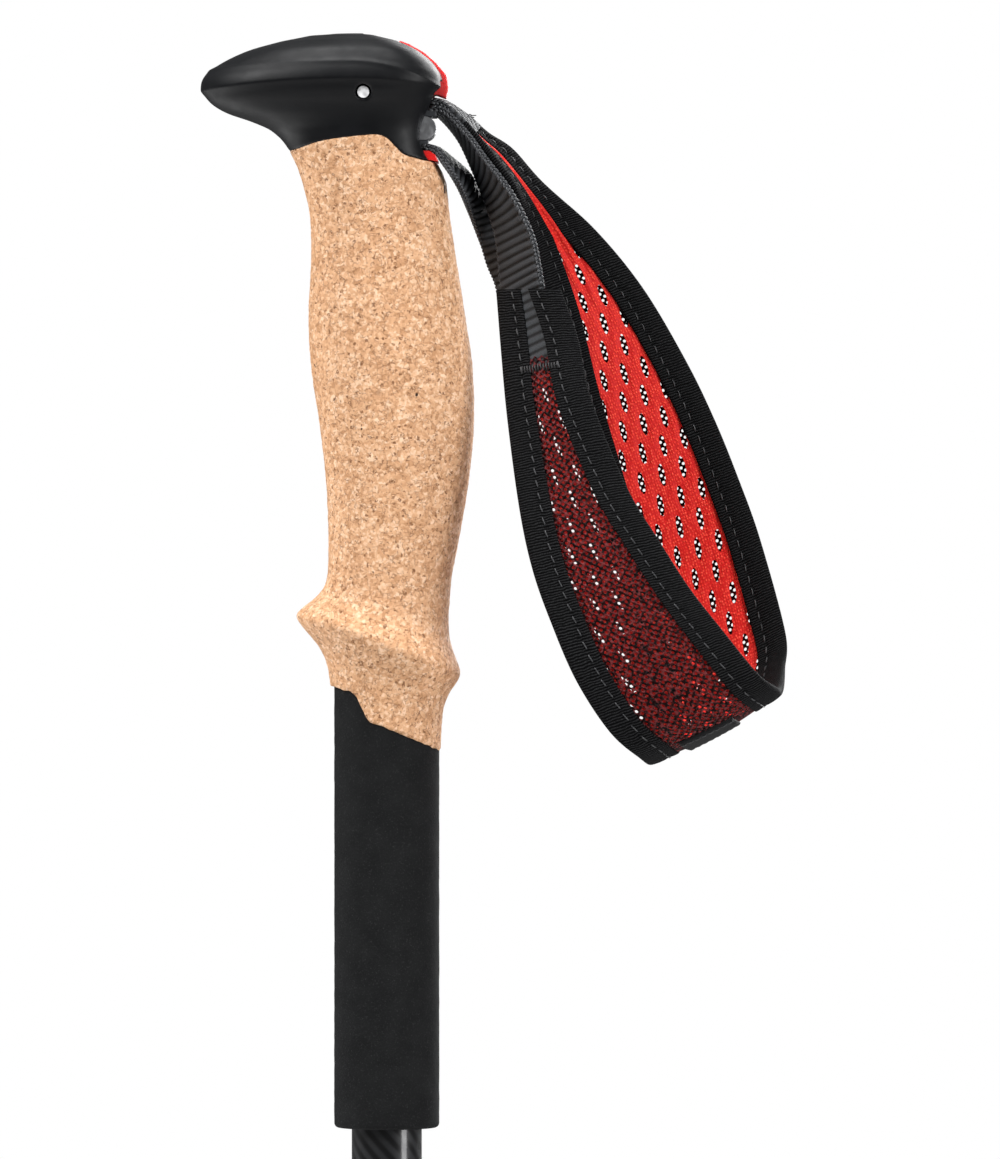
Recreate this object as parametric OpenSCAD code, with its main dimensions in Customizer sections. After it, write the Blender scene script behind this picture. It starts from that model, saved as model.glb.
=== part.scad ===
// Collapsible three-section trekking pole with a cork grip and a padded wrist strap, shown collapsed.
// Millimetres. +Z runs up the shaft, the head's beak points to -X and the strap hangs on the +X side.
// The origin is on the shaft axis in the middle of the cork grip, where the hand holds the pole.

/* [Grip] */
// Outer diameter of the foam extension
foam_d = 27; // [26:0.5:29]
// Lower end of the foam extension
foam_bottom = -181; // [-260:1:-120]
// Height that the flared ring at the bottom of the cork stands proud at the front
flare_h = 8.3; // [4:0.1:10]

/* [Strap lock] */
// Diameter of the cross pin that the cam lever turns on
pin_d = 3; // [2.8:0.1:3.2]
// Width of the strap webbing
webbing_w = 15.4; // [14:0.1:15.6]
// Thickness of the strap webbing
webbing_t = 1.8; // [1.2:0.1:2]

/* [Wrist band] */
// Thickness of the padded band
band_t = 2.8; // [2:0.1:3.2]
// Thickness of the binding tape on the band's edges
binding_t = 3.2; // [3:0.1:4]
// Width of the binding tape on each face
binding_w = 8.6; // [7:0.1:9]

/* [Shaft] */
// Outer diameter of the upper tube
upper_d = 18; // [18:0.1:18.4]
// Outer diameter of the middle tube
middle_d = 16; // [15.8:0.1:16]
// Outer diameter of the lower tube
lower_d = 14; // [13.8:0.1:14]
// Wall thickness of the tubes
wall = 0.85; // [0.7:0.05:0.9]
// Outer diameter of the two clamp collars
collar_d = 26; // [25.6:0.1:26]
// Height of the two clamp collars
collar_h = 36; // [34:1:36]

/* [Tip] */
// Diameter of the tip that a rubber protector pushes onto
seat_d = 11.2; // [10.6:0.1:11.6]
// Diameter of the basket
basket_d = 50; // [42:1:60]

/* [Hidden] */

slide_gap = 0.05;      // radial clearance of running fits
facets = 64;

// Colours
black = [0.06, 0.06, 0.065];
cork = [0.83, 0.66, 0.47];
red = [0.80, 0.08, 0.07];
maroon = [0.36, 0.05, 0.06];
steel = [0.72, 0.72, 0.74];
carbon = [0.10, 0.10, 0.11];

// Levels along the shaft
tube_top = 62;
upper_end = -410;
middle_top = 30;
middle_end = -450;
lower_top = -20;
lower_end = -490;
tip_end = -560;
collar_step = 8;       // depth of the collar below the tube that it is bonded to
bush_h = 16;

// Strap lock
pin_x = -5.8;
pin_z = 84.3;
pin_len = 35;
chamber_w = 16.4;
core_w = 19.2;
tab_w = 8.4;
jaw_z = 75.5;
jaw_r = 3;
jaw_front = 7.5;
jaw_back = 9.7;

// Clamp lever, seen along the shaft from the collar's axis
ear_x = 16;
ear_y = 5.5;
slit = 1.2;
barrel_r = 2.4;
barrel_y = 9.2;
screw_r = 1.6;
lever_gap = 0.4;
lever_t = 2.8;
lever_h = 22;
lever_hub_r = 3.4;

// Lip under the lower strand, seen from the side
LIP = [[8, 67.6], [8, 69.7], [11, 69.7], [12.6, 68.6], [13.4, 66.9]];
lip_w = 16;

// Head and grip outline: height, reach to the front, reach to the back, half width
FORM = [
    [100, 14, -8, 4], [99.5, 20, -3, 7.5], [98, 27.4, 2.9, 12], [96, 34.6, 7.3, 15.3],
    [94, 39.5, 10.2, 17], [92, 43.2, 12.3, 18.2], [90, 46, 13.6, 18.9], [88, 47.2, 14.1, 19],
    [85.5, 47.2, 13.8, 18.6], [83.5, 46.4, 12.9, 17.6], [81.5, 44.4, 12.4, 16.4],
    [79.5, 40.8, 11.6, 15.5], [77.5, 35, 10.8, 14.8], [75.5, 30.3, 10.3, 14.3],
    [73, 27.2, 10.1, 14.1], [70, 25, 10.8, 14], [66, 23.1, 13.4, 14.2], [62, 21.7, 15.2, 14.3],
    [55, 20, 16, 14.2], [47, 19.4, 17.1, 14.3], [38, 19.6, 18.5, 14.6], [28, 20.1, 20.1, 15],
    [15, 19.5, 22, 15.4], [0, 17.3, 22.4, 15.4], [-14, 15.7, 21.2, 15], [-27, 15, 19.1, 14.6],
    [-40, 15, 16.6, 14.3], [-64, 14.5, 14.9, 14.1], [-86, 13.8, 13.8, 13.8]
];
ring_n = 44;
beak_axis = -6;        // centre of the oval in the head
CORK_LEVELS = concat([for (z = [76:-4:-36]) z], [for (z = [-39:-1.5:-76]) z], [-80, -86]);
HEAD_LEVELS = [for (row = FORM) if (row[0] >= 62) row[0]];

// Joint between head and cork, and between cork and foam, front to back
HEAD_LINE = [[-30, 71], [-24.4, 70], [-17, 72], [-10, 73], [-3, 73.6], [0, 72.8], [2.2, 70.8],
    [4.6, 68.6], [9, 67.4], [12.7, 66.8], [20, 64]];
FOAM_LINE = [[-30, -62], [-14.4, -67.5], [-8.7, -69.4], [-6.6, -72.6], [-4.4, -76.5],
    [-1.5, -77.6], [5, -80.3], [13.8, -84], [20, -86.6]];

// Wrist band from its front end round the bottom to its back end: the two edges of each station
BAND = [
    [[28.3, -2.5, 34], [44.5, -13, 34]], [[29.3, -6.5, 20], [49, -15.5, 21.5]],
    [[31, -12, 1], [52.5, -19.5, 6]], [[34, -18, -22], [62, -23, -17]],
    [[37.3, -21.5, -37.5], [70, -25, -30]], [[42, -24, -51], [78, -26, -42.5]],
    [[48.5, -25.5, -66], [86, -26.5, -53]], [[57, -24.5, -79], [95, -25, -65]],
    [[64.5, -17, -85.5], [99.5, -17, -69.5]], [[67, 0, -87], [101, 0, -70]],
    [[67.5, 17, -83], [102, 17, -64]], [[67.5, 23, -71], [101.6, 24.5, -54]],
    [[61.5, 25, -45], [94.8, 27.5, -30]], [[57, 23.5, -28.5], [89.3, 28, -14.5]],
    [[52, 20, -11.5], [83, 27, 1]], [[47, 16, 6], [75.8, 25, 16.5]],
    [[42, 12, 27], [64.9, 21.5, 35.5]], [[36.5, 7, 44.5], [52.4, 17, 51]],
    [[33, -4.5, 58.5], [39.4, 9, 62.5]], [[27.5, -6.5, 67], [32, 8, 70.5]],
    [[23.8, -7, 72], [25.8, 7.5, 74.5]]
];
// Webbing strands from the head to the band's front end: the two edges of each station
STRAND_UPPER = [
    [[22, 7.3, 66.5], [25.4, -7.8, 67.5]], [[24.7, 6.5, 59.5], [31.2, -7.4, 60]],
    [[26.5, 5, 54.5], [34.8, -7.8, 53.5]], [[28.2, 4, 48.5], [37.6, -8.2, 47]],
    [[29.1, 3, 41], [39, -8.6, 40.5]], [[29.6, 1.5, 35], [40, -9.6, 35]]
];
STRAND_LOWER = [
    [[17.6, -7.7, 62.5], [21, 7.3, 64]], [[20, -3.5, 57.9], [25, 10.8, 58.5]],
    [[22.7, 5.5, 50.9], [35, 13, 51]], [[26, 9, 41.4], [37, -1.5, 41.5]],
    [[28.5, 5.2, 35], [39, -6, 35]]
];
BAND_STEPS = 3;
label_station = 26;    // station of the sewn tab after smoothing

// Value between two numbers or points
function mix(a, b, t) = a + (b - a) * t;
function unit(v) = v / norm(v);
// Smooth curve through the points of P at parameter t between points i and i + 1
function spline(P, i, t) =
    let (last = len(P) - 1, a = P[max(i - 1, 0)], b = P[i], c = P[i + 1], d = P[min(i + 2, last)])
    0.5 * ((2 * b) + (c - a) * t + (2 * a - 5 * b + 4 * c - d) * t * t
        + (3 * b - a - 3 * c + d) * t * t * t);
function smooth(P, k) =
    concat([for (i = [0:len(P) - 2]) for (j = [0:k - 1]) spline(P, i, j / k)], [P[len(P) - 1]]);
// Row of FORM at height z, read off smoothly
function row_at(z, i = 0) =
    i >= len(FORM) - 2 || FORM[i + 1][0] <= z ? form_between(z, i) : row_at(z, i + 1);
function form_between(z, i) = spline(FORM, i, (FORM[i][0] - z) / (FORM[i][0] - FORM[i + 1][0]));

// Flared ring: a bump that runs round the grip on a tilted plane
function flare_z(c) = -57 - 7.5 * c;
function flare(z, c) =
    let (h = c < 0 ? mix(4.3, flare_h, c * c) : mix(4.3, 4, c * c), off = z - flare_z(c),
        w = off > 0 ? mix(5, 6.8, (c + 1) / 2) : mix(7.6, 5, (c + 1) / 2))
    h * exp(-off * off / (w * w));

// One oval ring of the head and grip at height z; the back is blunter than the front in the head
function form_ring(z) =
    let (row = row_at(z), mid = z > 70 ? beak_axis : mix((row[2] - row[1]) / 2, beak_axis,
            min(1, max(0, (z - 50) / 20))),
        blunt = mix(1, 0.72, min(1, max(0, (z - 50) / 20))))
    [for (k = [0:ring_n - 1])
        let (a = 360 * k / ring_n, c = cos(a), s = sin(a), p = c > 0 ? blunt : 1, f = flare(z, c),
            cx = sign(c) * pow(abs(c), p), sy = sign(s) * pow(abs(s), p))
        [mid + (c > 0 ? row[2] - mid : row[1] + mid) * cx + f * c, row[3] * sy + f * s, z]];

// Closed skin over a stack of rings with the same number of points
module skin(rings) {
    n = len(rings[0]);
    last = len(rings) - 1;
    sides = [for (i = [0:last - 1]) for (k = [0:n - 1])
        let (a = i * n + k, b = i * n + (k + 1) % n) each [[a, b, b + n], [a, b + n, a + n]]];
    bottom = [for (k = [n - 1:-1:0]) k];
    top = [for (k = [0:n - 1]) last * n + k];
    polyhedron([for (r = rings) each r], concat(sides, [bottom], [top]), convexity = 6);
}

// Flat band between two edge curves, from share u0 to share u1 of its width
function band_normal(P, i) =
    let (a = P[max(i - 1, 0)], b = P[min(i + 1, len(P) - 1)], along = b[0] + b[1] - a[0] - a[1])
    unit(cross(P[i][1] - P[i][0], along));
function band_ring(P, i, u, t, crown) =
    let (n = band_normal(P, i),
        mid = [for (v = u) mix(P[i][0], P[i][1], v) - n * crown * 4 * v * (1 - v)])
    concat([for (p = mid) p - n * t / 2], [for (k = [len(mid) - 1:-1:0]) mid[k] + n * t / 2]);
module band(P, u, t, crown = 0, from = 0, to = 999) {
    last = min(to, len(P) - 1);
    m = len(u[0]);
    rings = [for (i = [from:last]) band_ring(P, i, u[i], t, crown)];
    n = 2 * m;
    count = len(rings) - 1;
    sides = [for (i = [0:count - 1]) for (k = [0:n - 1])
        let (a = i * n + k, b = i * n + (k + 1) % n) each [[a, b + n, b], [a, a + n, b + n]]];
    caps = [for (k = [0:m - 2])
        let (a = k, b = k + 1, c = n - 2 - k, d = n - 1 - k, e = count * n)
        each [[a, b, c], [a, c, d], [e + a, e + c, e + b], [e + a, e + d, e + c]]];
    polyhedron([for (r = rings) each r], concat(sides, caps), convexity = 6);
}

// Round wire along points whose directions stay across the Y axis
function wire_ring(P, i, r) =
    let (t = unit(P[min(i + 1, len(P) - 1)] - P[max(i - 1, 0)]), s = unit(cross(t, [0, 1, 0])),
        v = cross(s, t))
    [for (k = [0:7]) P[i] + r * (cos(45 * k) * s + sin(45 * k) * v)];
module wire(P, r) {
    skin([for (i = [0:len(P) - 1]) wire_ring(P, i, r)]);
}

// Plate of width w along Y with an outline given in X and Z
module plate(points, w) {
    rotate([90, 0, 0]) linear_extrude(height = w, center = true) polygon(points);
}
// Cylinder along Y at x, z
module rod_y(x, z, r, len) {
    translate([x, 0, z]) rotate([90, 0, 0]) cylinder(r = r, h = len, center = true, $fn = facets);
}
module pipe(z0, z1, r_out, r_in) {
    translate([0, 0, z0]) difference() {
        cylinder(r = r_out, h = z1 - z0, $fn = facets);
        translate([0, 0, -1]) cylinder(r = r_in, h = z1 - z0 + 2, $fn = facets);
    }
}

// ---- Handle ----

// Side outlines of the three regions that the joint lines part
module head_region() {
    plate(concat(HEAD_LINE, [[30, 110], [-60, 110], [-60, 71]]), 60);
}
module foam_region() {
    plate(concat(FOAM_LINE, [[20, foam_bottom], [-30, foam_bottom]]), 60);
}

// Chamber of the strap lock: where the cam, the webbing and the jaw sit
module lock_chamber() {
    plate([[-10.6, 79], [-10.6, 90], [-4, 92.6], [2, 93.4], [7, 92], [11.5, 88], [22, 86],
        [22, 69.8], [5.5, 69.8], [2.2, 71.5], [1.2, 75.5], [-3, 79]], chamber_w);
}
// Slot through the dome for the tab of the cam lever
module tab_slot() {
    plate([[0.9, 88], [-0.4, 104], [24, 104], [24, 82], [12, 84]], tab_w + 0.6);
}
module core_block() {
    plate([[-12.5, 66], [-12.5, 91], [-4, 94.2], [2, 95], [6.8, 93.2], [9.6, 90], [9.6, 80],
        [7.6, 78], [7.6, 68.6], [4.6, 68.6], [2.2, 70.8], [0, 72.8], [-3, 73.6], [-3, 66]], core_w);
}

module head_cover() {
    color(black) difference() {
        intersection() {
            skin([for (k = [len(HEAD_LEVELS) - 1:-1:0]) form_ring(HEAD_LEVELS[k])]);
            head_region();
        }
        core_block();
        lock_chamber();
        tab_slot();
        rod_y(pin_x, pin_z, 2, 60);
        translate([0, 0, 55]) cylinder(r = 11, h = 13, $fn = facets);
        plate(LIP, lip_w);
    }
}

module head_core() {
    plug_r = upper_d / 2 - wall;
    color(black) difference() {
        union() {
            intersection() {
                core_block();
                head_region();
            }
            translate([0, 0, 44]) cylinder(r = plug_r, h = 24, $fn = facets);
            translate([0, 0, tube_top]) cylinder(r = 11, h = 6, $fn = facets);
            difference() {
                translate([0, 0, tube_top]) cylinder(r = 11, h = 12, $fn = facets);
                head_region();
            }
        }
        lock_chamber();
        tab_slot();
        rod_y(pin_x, pin_z, pin_d / 2, 60);
        rod_y(jaw_back, jaw_z, jaw_r, core_w + 2);
        plate(LIP, lip_w);
    }
}

module head_pin() {
    color(steel) rod_y(pin_x, pin_z, pin_d / 2, pin_len);
}

// Torsion spring: coil round the pin with one straight leg to the front wall of the chamber
module cam_spring() {
    turns = 4;
    coil_r = 2.7;
    coil = [for (k = [0:14 * turns]) let (a = 90 + 360 * k / 14)
        [pin_x + coil_r * cos(a), 3.6 + 3.6 * k / (14 * turns), pin_z + coil_r * sin(a)]];
    leg = [for (k = [1:3]) [pin_x - 1.4 * k, 7.25, pin_z + coil_r]];
    color(steel) wire(concat(coil, leg), 0.35);
}

module jaw_block() {
    w = chamber_w - 0.2;
    color(steel) union() {
        rod_y(jaw_front, jaw_z, jaw_r, w);
        rod_y(jaw_back, jaw_z, jaw_r, w);
        translate([(jaw_front + jaw_back) / 2, 0, jaw_z])
            cube([jaw_back - jaw_front, w, 2 * jaw_r], center = true);
    }
}

module slot_lip() {
    color(red) plate(LIP, lip_w);
}

// Webbing inside the head: in over the jaw, round its front and out under it
module webbing_inner() {
    inner = jaw_r + 0.05;
    outer = inner + webbing_t;
    color(black) union() {
        difference() {
            rod_y(jaw_front, jaw_z, outer, webbing_w);
            rod_y(jaw_front, jaw_z, inner, webbing_w + 2);
            translate([jaw_front + 10, 0, jaw_z]) cube([20, 20, 20], center = true);
        }
        for (side = [-1, 1])
            translate([jaw_front, -webbing_w / 2, jaw_z + (side > 0 ? inner : -outer)])
                cube([side > 0 ? 5.4 : 3.2, webbing_w, webbing_t]);
    }
}

module strap_cam() {
    color(red) difference() {
        union() {
            plate([[-5.8, 80], [-5.8, 88.6], [2.5, 88.4], [8, 86], [10.4, 83], [9.4, 80.7], [4, 80.7]],
                chamber_w - 0.8);
            rod_y(pin_x, pin_z, 4.4, chamber_w - 0.8);
            plate([[3.6, 97.6], [5.7, 96.6], [9.6, 94.3], [12.4, 91.8], [15.2, 88.8], [15.9, 86],
                [15.3, 83.3], [12.9, 84.2], [9, 84.2], [4, 86]], tab_w);
        }
        rod_y(pin_x, pin_z, pin_d / 2 + slide_gap, 30);
        translate([pin_x, 10 + 2.9, pin_z]) rotate([90, 0, 0])
            cylinder(r = 3.7, h = 10, $fn = facets);
        translate([-20, 6.6, 70]) cube([24, 4, 22]);
    }
}

module cork_grip() {
    rings = [for (k = [len(CORK_LEVELS) - 1:-1:0]) form_ring(CORK_LEVELS[k])];
    color(cork) difference() {
        skin(rings);
        head_region();
        foam_region();
        translate([0, 0, -100]) cylinder(r = upper_d / 2, h = 300, $fn = facets);
        translate([0, 0, tube_top]) cylinder(r = 11, h = 20, $fn = facets);
    }
}

module foam_sleeve() {
    r = foam_d / 2;
    edge = 0.8;
    color(black) intersection() {
        rotate_extrude($fn = 96) polygon([[upper_d / 2, foam_bottom], [r - edge, foam_bottom],
            [r, foam_bottom + edge], [r, -60], [upper_d / 2, -60]]);
        foam_region();
    }
}

// ---- Wrist strap ----

STATIONS = smooth(BAND, BAND_STEPS);
function width_at(i) = norm(STATIONS[i][1] - STATIONS[i][0]);
function tape_share(i) = min(0.45, binding_w / width_at(i));
function shares(a, b, k) = [for (j = [0:k]) mix(a, b, j / k)];

module band_pad() {
    u = [for (i = [0:len(STATIONS) - 1]) shares(tape_share(i), 1 - tape_share(i), 2)];
    color(maroon) band(STATIONS, u, band_t, 1.2);
}
module band_binding() {
    near = [for (i = [0:len(STATIONS) - 1]) shares(0, tape_share(i), 1)];
    far = [for (i = [0:len(STATIONS) - 1]) shares(1 - tape_share(i), 1, 1)];
    color(black) {
        band(STATIONS, near, binding_t, 1.2);
        band(STATIONS, far, binding_t, 1.2);
    }
}
// Small sewn tab that stands proud of the band's outer face at the bottom
module band_tab() {
    tab_t = 0.9;
    lift = band_t / 2 + tab_t / 2;
    outer = [for (i = [0:len(STATIONS) - 1]) let (n = band_normal(STATIONS, i))
        [STATIONS[i][0] - n * lift, STATIONS[i][1] - n * lift]];
    u = [for (i = [0:len(STATIONS) - 1]) shares(0.42, 0.7, 2)];
    color(black) band(outer, u, tab_t, 1.2, label_station - 2, label_station + 1);
}
module webbing_upper() {
    P = smooth(STRAND_UPPER, 2);
    color(black) band(P, [for (p = P) [0, 1]], webbing_t);
}
module webbing_lower() {
    P = smooth(STRAND_LOWER, 2);
    color(black) band(P, [for (p = P) [0, 1]], webbing_t);
}

// ---- Shaft ----

module upper_tube() {
    color(carbon) pipe(upper_end, tube_top, upper_d / 2, upper_d / 2 - wall);
}
module middle_tube() {
    color(carbon) pipe(middle_end, middle_top, middle_d / 2, middle_d / 2 - wall);
}
module lower_tube() {
    color(carbon) pipe(lower_end, lower_top, lower_d / 2, lower_d / 2 - wall);
}

// Bush on top of an inner tube: a plug in the tube and a flange that slides in the tube outside
module bush(top, inner_d, outer_d) {
    color(black) translate([0, 0, top]) difference() {
        union() {
            cylinder(r = outer_d / 2 - wall - slide_gap, h = 6, $fn = facets);
            translate([0, 0, -bush_h]) cylinder(r = inner_d / 2 - wall, h = bush_h, $fn = facets);
        }
        translate([0, 0, -bush_h - 1]) cylinder(r = 3, h = bush_h + 8, $fn = facets);
    }
}
module middle_bush() { bush(middle_top, middle_d, upper_d); }
module lower_bush() { bush(lower_top, lower_d, middle_d); }

// Collar bonded to the end of an outer tube, split at the back between two ears
module collar(tube_end, outer_d, inner_d) {
    h = collar_h;
    color(black) translate([0, 0, tube_end - collar_step]) difference() {
        union() {
            cylinder(r = collar_d / 2, h = h, $fn = facets);
            translate([8, -ear_y - 1, 7]) cube([ear_x + 4 - 8, 2 * ear_y + 1, h - 14]);
        }
        translate([0, 0, collar_step]) cylinder(r = outer_d / 2, h = h, $fn = facets);
        translate([0, 0, -1]) cylinder(r = inner_d / 2 + slide_gap, h = h, $fn = facets);
        translate([0, -slit / 2, -1]) cube([30, slit, h + 2]);
        translate([ear_x, 0, h / 2]) rotate([90, 0, 0])
            cylinder(r = screw_r, h = 30, center = true, $fn = facets);
    }
}
module upper_collar() { collar(upper_end, upper_d, middle_d); }
module lower_collar() { collar(middle_end, middle_d, lower_d); }
function collar_mid(tube_end) = tube_end - collar_step + collar_h / 2;

// Tension screw across both ears, with its slotted head on the far ear
module clamp_screw(tube_end) {
    color(steel) translate([ear_x, 0, collar_mid(tube_end)]) rotate([90, 0, 0]) difference() {
        union() {
            translate([0, 0, -barrel_y]) cylinder(r = screw_r, h = barrel_y + ear_y + 1.5,
                $fn = facets);
            translate([0, 0, ear_y + 1]) cylinder(r = 3.2, h = 2.4, $fn = facets);
        }
        translate([0, 0, ear_y + 3.2]) cube([8, 0.9, 1.8], center = true);
    }
}
module hinge_barrel(tube_end) {
    color(steel) translate([ear_x, barrel_y, collar_mid(tube_end)]) difference() {
        cylinder(r = barrel_r, h = lever_h, center = true, $fn = facets);
        rotate([90, 0, 0]) cylinder(r = screw_r, h = barrel_r + 1, $fn = facets);
    }
}
module upper_clamp_screw() { clamp_screw(upper_end); }
module lower_clamp_screw() { clamp_screw(middle_end); }
module upper_hinge_barrel() { hinge_barrel(upper_end); }
module lower_hinge_barrel() { hinge_barrel(middle_end); }

// Four corners of the straight belt that touches two circles
function belt(a, ra, b, rb) =
    let (d = b - a, at = atan2(d[1], d[0]), off = acos((ra - rb) / norm(d)))
    [for (s = [1, -1]) each s > 0
        ? [a + ra * [cos(at + off), sin(at + off)], a + ra * [cos(at - off), sin(at - off)]]
        : [b + rb * [cos(at - off), sin(at - off)], b + rb * [cos(at + off), sin(at + off)]]];
// Wall between two radii that runs from one angle to another
module arc_wall(r_in, r_out, from, to, h) {
    span = [for (k = [0:4]) mix(from, to, k / 4)];
    intersection() {
        difference() {
            cylinder(r = r_out, h = h, center = true, $fn = facets);
            cylinder(r = r_in, h = h + 2, center = true, $fn = facets);
        }
        linear_extrude(height = h + 2, center = true)
            polygon(concat([[0, 0]], [for (a = span) 2 * r_out * [cos(a), sin(a)]]));
    }
}
// Lever: a hub on the barrel and an arm that wraps round the collar
module lever(tube_end) {
    inner = collar_d / 2 + lever_gap;
    mid = inner + lever_t / 2;
    from = 50;
    to = 195;
    hub = [ear_x, barrel_y];
    elbow = mid * [cos(from), sin(from)];
    color(black) translate([0, 0, collar_mid(tube_end)]) difference() {
        union() {
            translate(hub) cylinder(r = lever_hub_r, h = lever_h, center = true, $fn = facets);
            translate(elbow) cylinder(r = lever_t / 2, h = lever_h, center = true, $fn = facets);
            linear_extrude(height = lever_h, center = true)
                polygon(belt(hub, lever_hub_r, elbow, lever_t / 2));
            arc_wall(inner, inner + lever_t, from, to, lever_h);
            rotate([0, 0, to]) translate([mid + 0.6, 0]) cylinder(r = 1.9, h = lever_h,
                center = true, $fn = facets);
        }
        translate(hub) cylinder(r = barrel_r + slide_gap, h = 60, center = true, $fn = facets);
        translate(hub) cylinder(r = lever_hub_r + 0.8, h = 2 * screw_r + 1.2, center = true,
            $fn = facets);
    }
}
module upper_lever() { lever(upper_end); }
module lower_lever() { lever(middle_end); }

// ---- Tip ----

module tip_holder() {
    seat_r = seat_d / 2;
    color(black) rotate_extrude($fn = facets) polygon([
        [0, -555], [2.6, -555], [3.6, -554], [seat_r, -541], [seat_r, -512], [7.6, -512],
        [7.6, -509], [5.9, -509], [5.9, -498], [6.8, -497], [7.6, -490], [8.4, -470],
        [8.4, -468], [lower_d / 2, -468], [lower_d / 2, lower_end], [0, lower_end]
    ]);
}
module tip_ferrule() {
    color(steel) pipe(-557.5, -555, 3, 1.6);
}
module carbide_tip() {
    color(steel) union() {
        translate([0, 0, -557.5]) cylinder(r = 1.6, h = 2.5, $fn = facets);
        rotate_extrude($fn = facets) polygon([[0, -559], [1.1, tip_end], [1.9, -559.2], [2.1, -557.5],
            [0, -557.5]]);
    }
}
module basket() {
    r = basket_d / 2;
    holes = 10;
    color(black) difference() {
        rotate_extrude($fn = 96) polygon([
            [5.95, -508.5], [8.6, -508.5], [8.6, -505], [r - 3, -502], [r - 3, -503], [r, -502.5],
            [r, -499], [r - 2, -498.5], [r - 3.4, -500], [8.6, -502.6], [8.6, -499], [5.95, -499]
        ]);
        for (k = [0:holes - 1]) rotate([0, 0, 360 * k / holes])
            translate([(r + 7) / 2, 0, -515]) cylinder(r = 2.9, h = 30, $fn = 32);
    }
}

head_cover();
head_core();
head_pin();
cam_spring();
jaw_block();
slot_lip();
webbing_inner();
strap_cam();
webbing_upper();
webbing_lower();
band_pad();
band_binding();
band_tab();
cork_grip();
foam_sleeve();
upper_tube();
upper_collar();
upper_clamp_screw();
upper_hinge_barrel();
upper_lever();
middle_tube();
middle_bush();
lower_collar();
lower_clamp_screw();
lower_hinge_barrel();
lower_lever();
lower_tube();
lower_bush();
tip_holder();
tip_ferrule();
carbide_tip();
basket();
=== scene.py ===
import math
import random

import bpy
import numpy as np
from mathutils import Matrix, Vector, noise


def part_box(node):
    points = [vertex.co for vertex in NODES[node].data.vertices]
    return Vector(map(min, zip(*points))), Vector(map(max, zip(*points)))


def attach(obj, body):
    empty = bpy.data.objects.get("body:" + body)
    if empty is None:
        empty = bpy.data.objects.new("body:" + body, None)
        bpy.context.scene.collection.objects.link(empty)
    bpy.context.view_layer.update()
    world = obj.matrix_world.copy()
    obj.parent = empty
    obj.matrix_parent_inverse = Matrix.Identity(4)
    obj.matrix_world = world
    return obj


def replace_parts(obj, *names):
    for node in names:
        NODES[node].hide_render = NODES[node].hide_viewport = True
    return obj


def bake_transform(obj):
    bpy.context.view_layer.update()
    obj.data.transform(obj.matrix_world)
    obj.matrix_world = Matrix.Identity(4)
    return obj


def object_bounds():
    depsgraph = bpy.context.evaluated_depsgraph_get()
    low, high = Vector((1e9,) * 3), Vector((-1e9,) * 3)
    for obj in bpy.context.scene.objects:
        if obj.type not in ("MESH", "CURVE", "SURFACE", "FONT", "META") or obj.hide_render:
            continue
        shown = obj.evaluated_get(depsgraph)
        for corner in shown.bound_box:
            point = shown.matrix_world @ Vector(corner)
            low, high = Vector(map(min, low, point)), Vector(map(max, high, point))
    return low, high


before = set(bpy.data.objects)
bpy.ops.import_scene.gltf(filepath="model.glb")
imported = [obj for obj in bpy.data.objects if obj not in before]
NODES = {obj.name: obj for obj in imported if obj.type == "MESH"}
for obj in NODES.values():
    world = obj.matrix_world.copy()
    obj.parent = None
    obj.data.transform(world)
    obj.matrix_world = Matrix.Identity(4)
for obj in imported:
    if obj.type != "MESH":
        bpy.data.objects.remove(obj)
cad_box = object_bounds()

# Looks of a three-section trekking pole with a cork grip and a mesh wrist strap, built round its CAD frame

MM = 0.001
TAU = 2 * math.pi

# ---- Shape of the pole, in millimetres, as the CAD has it ----

# Head and grip outline: height, reach to the front, reach to the back, half width
FORM = np.array([
    [100, 14, -8, 4], [99.5, 20, -3, 7.5], [98, 27.4, 2.9, 12], [96, 34.6, 7.3, 15.3],
    [94, 39.5, 10.2, 17], [92, 43.2, 12.3, 18.2], [90, 46, 13.6, 18.9], [88, 47.2, 14.1, 19],
    [85.5, 47.2, 13.8, 18.6], [83.5, 46.4, 12.9, 17.6], [81.5, 44.4, 12.4, 16.4],
    [79.5, 40.8, 11.6, 15.5], [77.5, 35, 10.8, 14.8], [75.5, 30.3, 10.3, 14.3],
    [73, 27.2, 10.1, 14.1], [70, 25, 10.8, 14], [66, 23.1, 13.4, 14.2], [62, 21.7, 15.2, 14.3],
    [55, 20, 16, 14.2], [47, 19.4, 17.1, 14.3], [38, 19.6, 18.5, 14.6], [28, 20.1, 20.1, 15],
    [15, 19.5, 22, 15.4], [0, 17.3, 22.4, 15.4], [-14, 15.7, 21.2, 15], [-27, 15, 19.1, 14.6],
    [-40, 15, 16.6, 14.3], [-64, 14.5, 14.9, 14.1], [-86, 13.8, 13.8, 13.8],
])
BEAK_AXIS = -6
FLARE_H = 8.3
HEAD_LINE = [[-30, 71], [-24.4, 70], [-17, 72], [-10, 73], [-3, 73.6], [0, 72.8], [2.2, 70.8],
             [4.6, 68.6], [9, 67.4], [12.7, 66.8], [20, 64]]
FOAM_LINE = [[-30, -62], [-14.4, -67.5], [-8.7, -69.4], [-6.6, -72.6], [-4.4, -76.5],
             [-1.5, -77.6], [5, -80.3], [13.8, -84], [20, -86.6]]

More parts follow.
